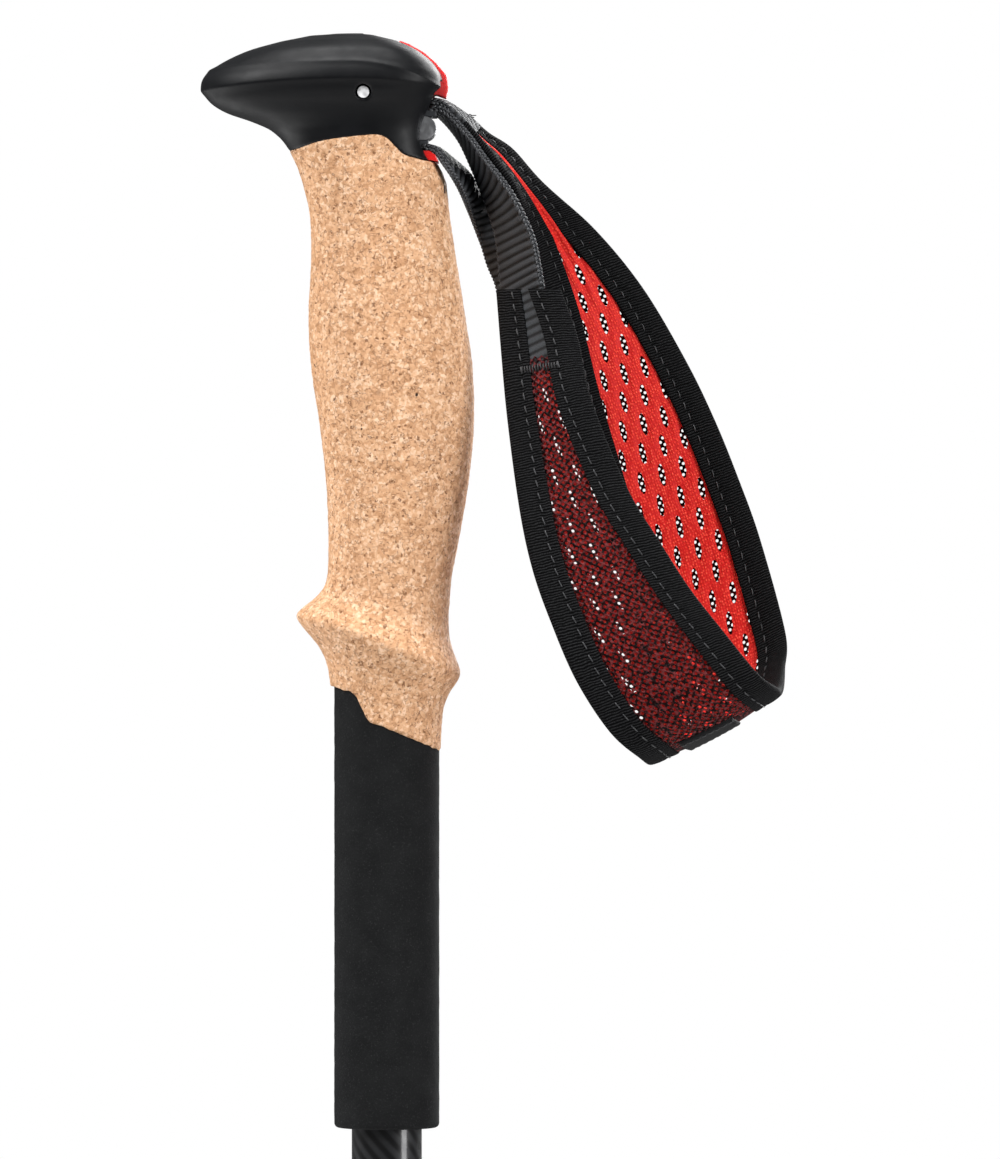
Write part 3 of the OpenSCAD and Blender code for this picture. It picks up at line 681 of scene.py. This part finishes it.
def build_head():
    """Moulded cover, with the strap's chamber, the lever's slot, the lip's seat and the pin's two recesses"""
    cuts = [
        prism(CHAMBER, CHAMBER_W / 2 + 0.15), prism(TAB_SLOT, TAB_W / 2 + 0.3), prism(LIP, 8),
        rod_y(*PIN, PIN_RECESS, PIN_FLOOR, 30), rod_y(*PIN, PIN_RECESS, -30, -PIN_FLOOR),
    ]
    tools = [("DIFFERENCE", cut) for cut in cuts]
    head = carve("head_shell", head_skin(), tools, 0.34, 3, SOFT_TOUCH)
    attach(head, "handle")
    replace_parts(head, "head_cover")


def build_cam():
    """Lever with its hub, thumb tab, pin hole, spring pocket and three grip grooves"""
    tools = [
        ("UNION", rod_y(*PIN, 4.4, -CAM_HALF, CAM_HALF)),
        ("UNION", prism(TAB, TAB_W / 2)),
        ("DIFFERENCE", rod_y(*PIN, 1.6, -20, 20)),
        ("DIFFERENCE", rod_y(*PIN, 3.7, 2.9, 20)),
    ]
    tools += [("DIFFERENCE", rod_y(x, z, 0.55, -2.6, 2.6, 20)) for x, z in GROOVES]
    lever = carve("cam_lever_body", prism(CAM, CAM_HALF), tools, 0.26, 4, RED_LEVER)
    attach(lever, "cam_lever")
    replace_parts(lever, "strap_cam")


def build_cork(columns=240, rows=330):
    """Cork sleeve with soft lips at both joints and slightly uneven granules"""
    a = TAU * np.arange(columns) / columns
    low, high = joint_height(a, FOAM_LINE), joint_height(a, HEAD_LINE)
    ragged = np.array([noise.noise(Vector((7.2 * math.cos(k), 7.2 * math.sin(k), 9))) for k in a])
    low = low + 0.35 * ragged
    t = np.linspace(0, 1, rows)[:, None]
    z = mix(low[None] + 0.06, high[None] - 0.06, t)
    skin = form_at(z, np.broadcast_to(a, z.shape))
    normal = outward(skin)
    near = np.minimum(z - low[None], high[None] - z)
    lip = 0.4
    inset = np.where(near < lip, lip - np.sqrt(np.maximum(lip**2 - (lip - np.clip(near, 0, lip))**2, 0)), 0)
    bumps = np.array([noise.fractal(Vector(p) * 0.55, 0.6, 2.0, 3) for p in skin.reshape(-1, 3)])
    pits = np.array([noise.voronoi(Vector(p) * 0.42)[0][0] for p in skin.reshape(-1, 3)])
    lumps = 0.10 * bumps - 0.30 * np.clip(1 - pits / 0.16, 0, 1)
    skin = skin + normal * (lumps.reshape(z.shape) - inset)[..., None]
    bore = np.stack([9.3 * np.cos(a), 9.3 * np.sin(a)], -1)
    points = np.concatenate([skin] + [np.column_stack([bore, end])[None] for end in (high - 0.1, low + 0.1)])
    faces = grid_faces(rows + 2, columns, True, True)
    piece = add_piece("cork_sleeve", points, faces, CORK, "cork", "handle")
    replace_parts(piece, "cork_grip")


def build_foam(columns=160, rows=230):
    """Foam extension that tucks under the cork's lip and has a rounded lower end"""
    a = TAU * np.arange(columns) / columns
    high = joint_height(a, FOAM_LINE) + 0.8
    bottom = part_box("foam_sleeve")[0].z / MM
    radius, bore, edge = 13.5, 9.05, 1.2
    t = np.linspace(0, 1, rows)[:, None]
    z = mix(high[None], bottom + edge, t)
    r = np.full(z.shape, radius)
    turn = np.linspace(0, math.pi / 2, 6)[1:, None]
    z = np.concatenate([z, np.broadcast_to(bottom + edge - edge * np.sin(turn), (5, columns))])
    r = np.concatenate([r, np.broadcast_to(radius - edge + edge * np.cos(turn), (5, columns))])
    z = np.concatenate([z, np.full((1, columns), bottom), high[None]])
    r = np.concatenate([r, np.full((2, columns), bore)])
    points = np.stack([r * np.cos(a), r * np.sin(a), z], -1)
    soft = np.array([noise.fractal(Vector(p) * 0.28, 0.7, 2.0, 3) for p in points[:rows].reshape(-1, 3)])
    points[:rows, :, :2] *= (1 + 0.0045 * soft.reshape(rows, columns, 1))
    faces = grid_faces(*points.shape[:2], True, True)[:, ::-1]
    piece = add_piece("foam_extension", points, faces, FOAM, "foam", "handle")
    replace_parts(piece, "foam_sleeve")


# ---- Wrist strap ----

class Ribbon:
    """Strip of cloth between two edge curves, with places on it by millimetres along and share across"""

    def __init__(self, stations, crown=0.0, steps=16):
        self.edges = spline(stations, steps)
        middle = self.edges.mean(1)
        self.along = np.concatenate([[0], np.cumsum(np.linalg.norm(np.diff(middle, axis=0), axis=1))])
        self.length = self.along[-1]
        across = self.edges[:, 1] - self.edges[:, 0]
        self.normals = unit(np.cross(across, np.gradient(middle, axis=0)))
        self.widths = np.linalg.norm(across, axis=1)
        self.crown = crown

    def read(self, table, v):
        flat = table.reshape(len(table), -1)
        return np.stack([np.interp(v, self.along, column) for column in flat.T], -1)

    def width(self, v):
        return np.interp(v, self.along, self.widths)

    def at(self, v, q, lift=0.0):
        """Points at v along, share q across, raised by lift towards the inside of the loop"""
        v, q, lift = np.broadcast_arrays(np.asarray(v, float), q, lift)
        edges = self.read(self.edges, v.ravel()).reshape(v.shape + (2, 3))
        normal = unit(self.read(self.normals, v.ravel())).reshape(v.shape + (3,))
        rise = lift - self.crown * 4 * q * (1 - q)
        return mix(edges[..., 0, :], edges[..., 1, :], q[..., None]) + normal * rise[..., None]


band = Ribbon(BAND, crown=1.2)
TAPE_W = 8.5          # Width of the binding tape on each face
TAPE_HALF = 1.15      # Half thickness of the folded tape
CLOTH_GAP = 0.42      # From the band's middle to each of its two cloths
CLOTH_START = 19      # Where the cloths begin, along the band
CLOTH_W = 26          # Width from which the lining's number of grid columns is set
STITCH_IN = 2.6       # From the tape's inner edge to its stitches
STITCH_PITCH = 3.3


def join_head(piece):
    """The piece's placement is baked into its points"""
    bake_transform(piece)
    return piece


def sew(name, solids, material):
    """Threads on the strap, as one piece"""
    join_head(add_piece(name, *merge_solids(solids), material, "binding", None))


def tape_width(v):
    """The tapes get narrower with the band, so that they never meet"""
    return np.minimum(TAPE_W, mix(0.465, 0.425, smoothstep(25, 150, v)) * band.width(v))


def tape_section(w, v):
    """Closed outline of a folded tape: distance from the band's edge and lift, for tape width w"""
    stitch = w - STITCH_IN
    pinch = 0.16 + 0.10 * np.cos(TAU * v / STITCH_PITCH)
    t = TAPE_HALF
    side = [(w, CLOTH_GAP), (w - 0.02, t - 0.25), (w - 0.14, t - 0.06), (w - 0.4, t),
            (w - 1.2, t + 0.02), (stitch + 0.7, t - 0.3 * pinch), (stitch + 0.25, t - pinch),
            (stitch - 0.25, t - pinch), (stitch - 0.7, t - 0.3 * pinch), (mix(t, stitch, 0.72), t + 0.10),
            (mix(t, stitch, 0.4), t + 0.16), (mix(t, stitch, 0.15), t + 0.10)]
    turn = [(t - t * math.sin(k), t * math.cos(k)) for k in np.linspace(0.15, math.pi - 0.15, 9)]
    return side + turn + [(u, -lift) for u, lift in reversed(side)]


def tape(v, from_far):
    """Folded tape along one edge of the band"""
    section = np.array([tape_section(w, at) for w, at in zip(tape_width(v), v)])
    u, lift = section[..., 0], section[..., 1]
    q = u / band.width(v)[:, None]
    step = np.hypot(np.diff(u, axis=1), np.diff(lift, axis=1))
    round_it = np.concatenate([np.zeros((len(v), 1)), np.cumsum(step, 1)], 1)
    along = np.broadcast_to(v[:, None], u.shape)
    return band.at(along, 1 - q if from_far else q, lift), np.stack([round_it, along], -1)


def build_tapes():
    """Binding tapes on both edges, gathered slightly by their stitches"""
    v = np.arange(0, band.length, 0.55)
    solids, cloths = [], []
    for from_far in (False, True):
        points, cloth = tape(v, from_far)
        solids.append((points, capped(*points.shape[:2])))
        cloths.append(cloth)
    cloth = np.concatenate(cloths)
    piece = add_piece("binding_tapes", *merge_solids(solids), TAPE, "binding", None, cloth=cloth)
    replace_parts(piece, "band_binding")
    join_head(piece)


def stitch(v, q, lift):
    """One stitch: a short slanted thread that rises out of the cloth and dips back into it"""
    s = np.linspace(-1, 1, 7)
    rise = lift + np.sign(lift) * (0.16 - 0.42 * s**4)
    path = band.at(v + s * 1.05, q + 0.12 * s / band.width(v), rise)
    return tube(path, 0.17 * (1 - 0.25 * s**4))


def build_stitches():
    """Two lines of stitches on each face of the band"""
    solids = []
    for from_far in (False, True):
        for face in (-1, 1):
            for v in np.arange(1.6, band.length - 2, STITCH_PITCH):
                q = (tape_width(v) - STITCH_IN) / band.width(v)
                q = 1 - q if from_far else q
                solids.append(stitch(v, q, face * (TAPE_HALF - 0.14)))
    sew("binding_stitches", solids, STITCH)


# Openings of the lining, and the lattice that they lie on
WINDOW = (5.8, 14.2)
WINDOW_LONG, WINDOW_WIDE = 6.0, 1.62
NET_PITCH = (1.86, 1.83)    # Across and along, from hole to hole
NET_HOLE = 0.40             # Radius of the net's round holes


def window_distance(u, v):
    """Rough distance in millimetres to the edge of the nearest opening of the lining, negative inside"""
    half = WINDOW_WIDE / 2 * mix(0.55, 1, smoothstep(95, 125, v))

    def distance(shift):
        along = ((v / WINDOW[1] + shift + 0.5) % 1 - 0.5) * WINDOW[1]
        across = ((u / WINDOW[0] + shift + 0.5) % 1 - 0.5) * WINDOW[0] - 0.10 * along
        return (np.sqrt((across / half)**2 + (np.abs(along) / (WINDOW_LONG / 2))**2.2) - 1) * half

    shut = np.maximum(smoothstep(24, 18, v), smoothstep(band.length - 44, band.length - 38, v))
    return np.minimum(distance(0.0), distance(0.5)) + 3 * shut


def cloth_edge(v):
    """Half width of the cloth that shows between the tapes, plus what they cover"""
    return band.width(v) / 2 - tape_width(v) + 1.6


def build_lining():
    """Red lining with real openings: grid points near an opening's edge are moved onto it"""
    pitch = 0.48
    v = np.arange(CLOTH_START, band.length - 2, pitch)
    half = np.maximum(cloth_edge(v), 1.5)[:, None]
    u = np.linspace(-1, 1, int(CLOTH_W / pitch))[None] * half
    vv = np.broadcast_to(v[:, None], u.shape).copy()
    d = window_distance(u, vv)
    step = 0.05
    gu = (window_distance(u + step, vv) - window_distance(u - step, vv)) / (2 * step)
    gv = (window_distance(u, vv + step) - window_distance(u, vv - step)) / (2 * step)
    size = np.maximum(gu**2 + gv**2, 1e-3)
    pull = np.abs(d) < 0.55 * pitch * np.sqrt(size)
    for _ in range(2):
        d = window_distance(u, vv)
        move = np.where(pull, -d / size, 0)
        u, vv = u + np.clip(move * gu, -0.4, 0.4), vv + np.clip(move * gv, -0.4, 0.4)
    d = window_distance(u, vv)
    faces = grid_faces(*u.shape)
    faces = faces[d.ravel()[faces].mean(1) >= -0.02]
    dimple = 0.22 * np.exp(-np.clip(d, 0, 9)**2 / 0.5)
    middle = 1 - (u / half)**2
    folds = 0.34 * np.sin(2.2 * u + 0.9 * np.sin(0.12 * vv))
    gather = smoothstep(band.length - 80, band.length - 35, vv) * folds
    points = band.at(vv, 0.5 + u / band.width(vv), CLOTH_GAP + middle * (0.25 + gather) - dimple)
    used, again = np.unique(faces, return_inverse=True)
    faces = again.reshape(faces.shape)
    flat = np.stack([u, vv], -1).reshape(-1, 2)[used]
    points = points.reshape(-1, 3)[used]
    piece = add_piece("band_lining", points, faces, LINING, "band_lining", None, cloth=flat)
    return join_head(piece), flat_area(flat, faces)


def flat_area(flat, faces):
    """Area of the cut cloth in square metres"""
    x, y = np.moveaxis(flat[faces], -1, 0)
    twice = (x * np.roll(y, -1, 1) - np.roll(x, -1, 1) * y).sum(1)
    return float(np.abs(twice).sum() / 2 * MM * MM)


def build_net():
    """Outer net: round holes on a diamond lattice, with yarn crests between them"""
    cu, cv = NET_PITCH
    centres = []
    rows = int(band.length / (cv / 2))
    for j in range(int(CLOTH_START / (cv / 2)) + 1, rows - 3):
        v = j * cv / 2
        edge = cloth_edge(v)
        for i in range(-12, 13):
            u = (i + 0.5 * (j % 2)) * cu
            if abs(u) < edge:
                centres.append((u, v))
    centres = np.array(centres)
    corner = np.array([[1, 0], [0.5, 0.5], [0, 1], [-0.5, 0.5], [-1, 0], [-0.5, -0.5], [0, -1], [0.5, -0.5]])
    corner = corner * [cu / 2, cv / 2]
    turn = TAU * np.arange(8) / 8
    hole = np.stack([np.cos(turn), np.sin(turn)], -1)
    rings = [corner, mix(corner, hole * (NET_HOLE + 0.03), 0.45), hole * NET_HOLE]
    flat = np.stack([centres[:, None] + ring for ring in rings], 1).reshape(-1, 2)
    n = len(centres)
    a, b = (np.arange(n * 24).reshape(n, 3, 8)[:, k:k + 2] for k in (0, 1))
    faces = np.stack([a, b, np.roll(b, -1, 2), np.roll(a, -1, 2)], -1).reshape(-1, 4)
    lift = np.tile(np.repeat([-0.16, -0.10, 0.06], 8), n)
    key = np.round(flat / 0.02).astype(int)
    _, first, again = np.unique(key, axis=0, return_index=True, return_inverse=True)
    flat, lift, faces = flat[first], lift[first], again.ravel()[faces]
    u, v = flat.T
    bulge = 0.5 * np.clip(1 - (u / cloth_edge(v))**2, 0, 1)
    points = band.at(v, 0.5 + u / band.width(v), lift - CLOTH_GAP - bulge)
    piece = add_piece("band_net", points, faces, NET, "band_mesh", None, cloth=flat)
    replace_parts(piece, "band_pad")
    return join_head(piece), flat_area(flat, faces)


def build_cloth():
    """The band's two cloths, net and lining; the flat size each was cut to is worked out and not used further
    """
    net, net_area = build_net()
    lining, lining_area = build_lining()


WEBBING_HALF = 0.9    # Half thickness of the webbing
LINK_PITCH = 1.15


def rib_height(v, across):
    """Ribs of the webbing, which run a little slanted across it: 1 on top, 0 between"""
    return np.abs(np.cos(math.pi * (v + RIB_SLANT * across) / RIB_PITCH))**0.6


def selvage_links(ribbon, v_to, edge):
    """Braided edge of the webbing: pairs of short threads that lean against each other"""
    s = np.linspace(-1, 1, 5)
    out = 0.30 * (1 - s**2) - 0.28
    solids = []
    for v in np.arange(1.0, v_to, LINK_PITCH):
        for row in (-1, 1):
            q = edge + (2 * edge - 1) * out / ribbon.width(v)
            at = v + (row + 1) / 4 * LINK_PITCH + 0.62 * s
            lift = row * (WEBBING_HALF * 0.42 + 0.31 * s)
            solids.append(tube(ribbon.at(at, q, lift), 0.40 * (1 - 0.3 * s**2)))
    return solids


def webbing(name, stations, hidden_end=0.0, node=None):
    """Ribbed webbing with a rounded section and braided edges"""
    ribbon = Ribbon(stations)
    share = np.concatenate([[0.0, 0.012, 0.04], np.linspace(0.08, 0.92, 15), [0.96, 0.988, 1.0]])
    thick = np.concatenate([[0.35, 0.7, 0.92], np.ones(15), [0.92, 0.7, 0.35]])
    thick = np.concatenate([thick, -thick])
    v, q = grid(np.arange(0, ribbon.length, 0.22), np.concatenate([share, share[::-1]]))
    across = (q - 0.5) * ribbon.width(v)
    inner = np.clip(1 - (np.abs(q - 0.5) - 0.40) / 0.06, 0, 1)
    body = WEBBING_HALF + 0.10 - 0.62 * (1 - rib_height(v, across)) * inner
    points = ribbon.at(v, q, thick * body)
    cloth = np.stack([across, v], -1)
    piece = add_piece(name, *closed(points, capped(*v.shape)), WEBBING, "webbing", None, cloth=cloth)
    if node:
        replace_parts(piece, node)
    join_head(piece)
    v_to = ribbon.length - hidden_end - 1.5
    links = selvage_links(ribbon, v_to, 0) + selvage_links(ribbon, v_to, 1)
    join_head(add_piece(name + "_selvage", *merge_solids(links), SELVAGE, "webbing", None))


def build_webbing():
    webbing("webbing_front", STRAND_UPPER, hidden_end=8, node="webbing_upper")
    webbing("webbing_under", STRAND_LOWER,
            node="webbing_lower")
    webbing("webbing_tail", STRAND_TOP, hidden_end=8)


def build_tongue():
    """Sewn-down end of the webbing between the tapes, at the front end of the band"""
    v, q = grid(np.arange(0.2, CLOTH_START + 2.6, 0.22), np.linspace(0.30, 0.70, 13))
    across = (q - 0.5) * band.width(v)
    lift = 0.44 + 0.26 * rib_height(v, across)
    solid = slab(band.at(v, q, -lift), band.at(v, q, lift))
    cloth = [np.stack([across, v], -1)] * 2
    add_piece("webbing_end", *closed(*solid), WEBBING, "webbing", cloth=cloth)


def build_bartack():
    """Dense cross stitches that hold the strands between the tapes, and a loose thread at the far end"""
    solids = []
    random.seed(4)
    s = np.linspace(-1, 1, 5)
    lift = TAPE_HALF + 0.05 - 0.3 * s**4
    for v in (CLOTH_START + 2.4, band.length - 3.2):
        for q in np.linspace(0.28, 0.72, 14):
            for face in (-1, 1):
                path = band.at(v + 0.9 * s + 0.15 * random.uniform(-1, 1), q, face * lift)
                solids.append(tube(path, 0.2))
    sew("bar_tacks", solids, DARK_STITCH)
    frays = []
    base = band.at(band.length - 0.3, 0.9, 0.2)
    for k in range(5):
        tip = base + [mix(0.5, 2.6, k / 4), random.uniform(-0.8, 0.8), random.uniform(0.1, 1.2)]
        bow = mix(base, tip, 0.5) + [0, 0, random.uniform(0.2, 0.7)]
        frays.append(tube(spline([base, bow, tip], 6), 0.13, 5))
    sew("frayed_thread", frays, DARK_STITCH)


LABEL_Q = (0.27, 0.66)    # Shares of the band's width that the label reaches between
LABEL_LONG = 19
LABEL_BAND = 36           # Width of the band where the label is


def build_label():
    """Plain sewn label on the outer face at the bottom of the loop"""
    start = band.along[np.argmin(band.edges[:, :, 2].sum(1))] - 13
    v, q = grid(np.linspace(0, LABEL_LONG, 30), np.linspace(*LABEL_Q, 18))
    to_side = np.minimum(q - LABEL_Q[0], LABEL_Q[1] - q) * LABEL_BAND
    rim = np.sqrt(np.clip(np.minimum(np.minimum(v, LABEL_LONG - v), to_side) / 0.8, 0, 1))
    v = start + v
    solid = slab(band.at(v, q, -CLOTH_GAP - 0.55 - 0.75 * rim), band.at(v, q, -CLOTH_GAP - 0.45))
    cloth = [np.stack([q * LABEL_BAND, v], -1)] * 2
    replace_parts(add_piece("band_label", *solid, LABEL, "binding", cloth=cloth), "band_tab")
    s = np.linspace(-1, 1, 5)
    lift = -CLOTH_GAP - 1.36 + 0.35 * s**4
    solids = []
    for at in (start + 1.3, start + LABEL_LONG - 1.3):
        for q in np.linspace(LABEL_Q[0] + 0.03, LABEL_Q[1] - 0.03, 8):
            solids.append(tube(band.at(np.full(5, at), q + 0.8 * s / LABEL_BAND, lift), 0.16))
    add_piece("label_stitches", *merge_solids(solids), STITCH, "binding")


# ---- Shaft ----

def dress(node, material, bevel=0.0, segments=2):
    """A CAD node keeps its shape and gets a finish and, where it is moulded, softened edges"""
    piece = NODES[node]
    piece.data.materials.clear()
    piece.data.materials.append(material)
    if bevel:
        modifier(piece, "WELD", merge_threshold=0.00001)
        modifier(piece, "BEVEL", width=bevel * MM, segments=segments, limit_method="ANGLE",
                 angle_limit=math.radians(35), harden_normals=True)


def build_shaft():
    dress("upper_tube", tube_material("upper_carbon", -999))
    dress("middle_tube", tube_material("middle_carbon", 0))
    dress("lower_tube", tube_material("lower_carbon", 0))
    for end in ("upper", "lower"):
        dress(f"{end}_collar", HARD_BLACK, 0.5)
        dress(f"{end}_lever", LEVER_BLACK, 0.6)
        dress(f"{end}_clamp_screw", STEEL, 0.2)
        dress(f"{end}_hinge_barrel", STEEL, 0.2)
    for node in ("middle_bush", "lower_bush", "head_core"):
        dress(node, HARD_BLACK, 0.2)
    for node in ("tip_holder", "basket"):
        dress(node, HARD_BLACK, 0.3)
    dress("tip_ferrule", STEEL, 0.1)
    dress("carbide_tip", CARBIDE, 0.1)
    dress("head_pin", PIN_STEEL, 0.35, 3)
    dress("cam_spring", SPRING_STEEL)
    dress("jaw_block", JAW, 0.5, 3)
    dress("slot_lip", RED_LIP, 0.3)
    dress("webbing_inner", WEBBING, 0.3)


# ---- Stage, light and camera ----

VIEW_CENTRE = (0.0291, -0.0402)     # X and Z of the middle of the view, in metres
VIEW_SPAN = 0.2979                  # What the view's longer side takes in
CAMERA_BACK = 2.5


def build_camera():
    data = bpy.data.cameras.new("camera")
    data.sensor_width = 36
    data.lens = data.sensor_width * CAMERA_BACK / VIEW_SPAN
    data.clip_end = 100
    camera = bpy.data.objects.new("camera", data)
    camera.location = (VIEW_CENTRE[0], -CAMERA_BACK, VIEW_CENTRE[1])
    camera.rotation_euler = (math.pi / 2, 0, 0)
    bpy.context.scene.collection.objects.link(camera)
    bpy.context.scene.camera = camera


def softbox(name, place, target, size, power):
    data = bpy.data.lights.new(name, "AREA")
    data.shape = "RECTANGLE"
    data.size, data.size_y = size
    data.energy = power
    light = bpy.data.objects.new(name, data)
    light.location = place
    light.rotation_euler = (Vector(target) - Vector(place)).to_track_quat("-Z", "Y").to_euler()
    light.visible_camera = False
    bpy.context.scene.collection.objects.link(light)


def build_light():
    """Large soft boxes from the sides and above, so that black surfaces that face the camera stay dark"""
    softbox("key", (-1.40, -1.00, 1.30), (0, 0, 0), (1.0, 1.3), 60)
    softbox("top", (-0.1, -0.15, 1.75), (0, 0, 0), (1.3, 0.9), 34)
    softbox("fill", (1.75, -1.0, 0.25), (0.03, 0, -0.05), (0.7, 1.6), 40)
    softbox("low", (-0.9, 0.35, -0.75), (-0.03, 0, 0.05), (0.8, 0.8), 7)
    softbox("back", (0.9, 1.6, 0.6), (0.02, 0, -0.1), (1.2, 1.4), 42)
    world = bpy.data.worlds.new("studio")
    bpy.context.scene.world = world
    world.use_nodes = True
    tree = world.node_tree
    back = tree.nodes["Background"]
    back.inputs["Color"].default_value = (1, 1, 1, 1)
    seen = tree.nodes.new("ShaderNodeLightPath")
    level = tree.nodes.new("ShaderNodeMapRange")
    level.inputs["To Min"].default_value = 0.14
    level.inputs["To Max"].default_value = 1.0
    tree.links.new(seen.outputs["Is Camera Ray"], level.inputs["Value"])
    tree.links.new(level.outputs["Result"], back.inputs["Strength"])


FULL_REACH = 0.64    # How much longer the pole gets with both slides out, in metres


def build_floor():
    """Plain pale floor under the pole at its full length, fading out at its rim"""
    p = Paint("floor", 0.1, Roughness=0.9)
    at = p.place()
    far = p.node("VectorMath", (0, at), operation="LENGTH").outputs["Value"]
    tone = p.ramp(p.noise(at, 3, 3), (0.3, (0.84, 0.84, 0.84)), (0.7, (0.87, 0.87, 0.87)))
    p.set(Base_Color=tone, Alpha=p.fit(far, 0.5, 2.4, 1, 0))
    a = TAU * np.arange(96) / 96
    rings = [np.column_stack([r * np.cos(a), r * np.sin(a), 0 * a]) for r in (0, 400, 1200, 2500)]
    floor = make_mesh("floor", rings, grid_faces(4, 96, wrap_cols=True), p.material)
    floor.location = (0, 0, cad_box[0].z - FULL_REACH - 0.0005)


for build in (build_camera, build_light, build_floor, build_head, build_cam, build_cork, build_foam,
              build_tapes, build_stitches, build_cloth, build_webbing, build_tongue, build_bartack,
              build_label, build_shaft):
    build()
bpy.context.scene.view_settings.view_transform = "Standard"
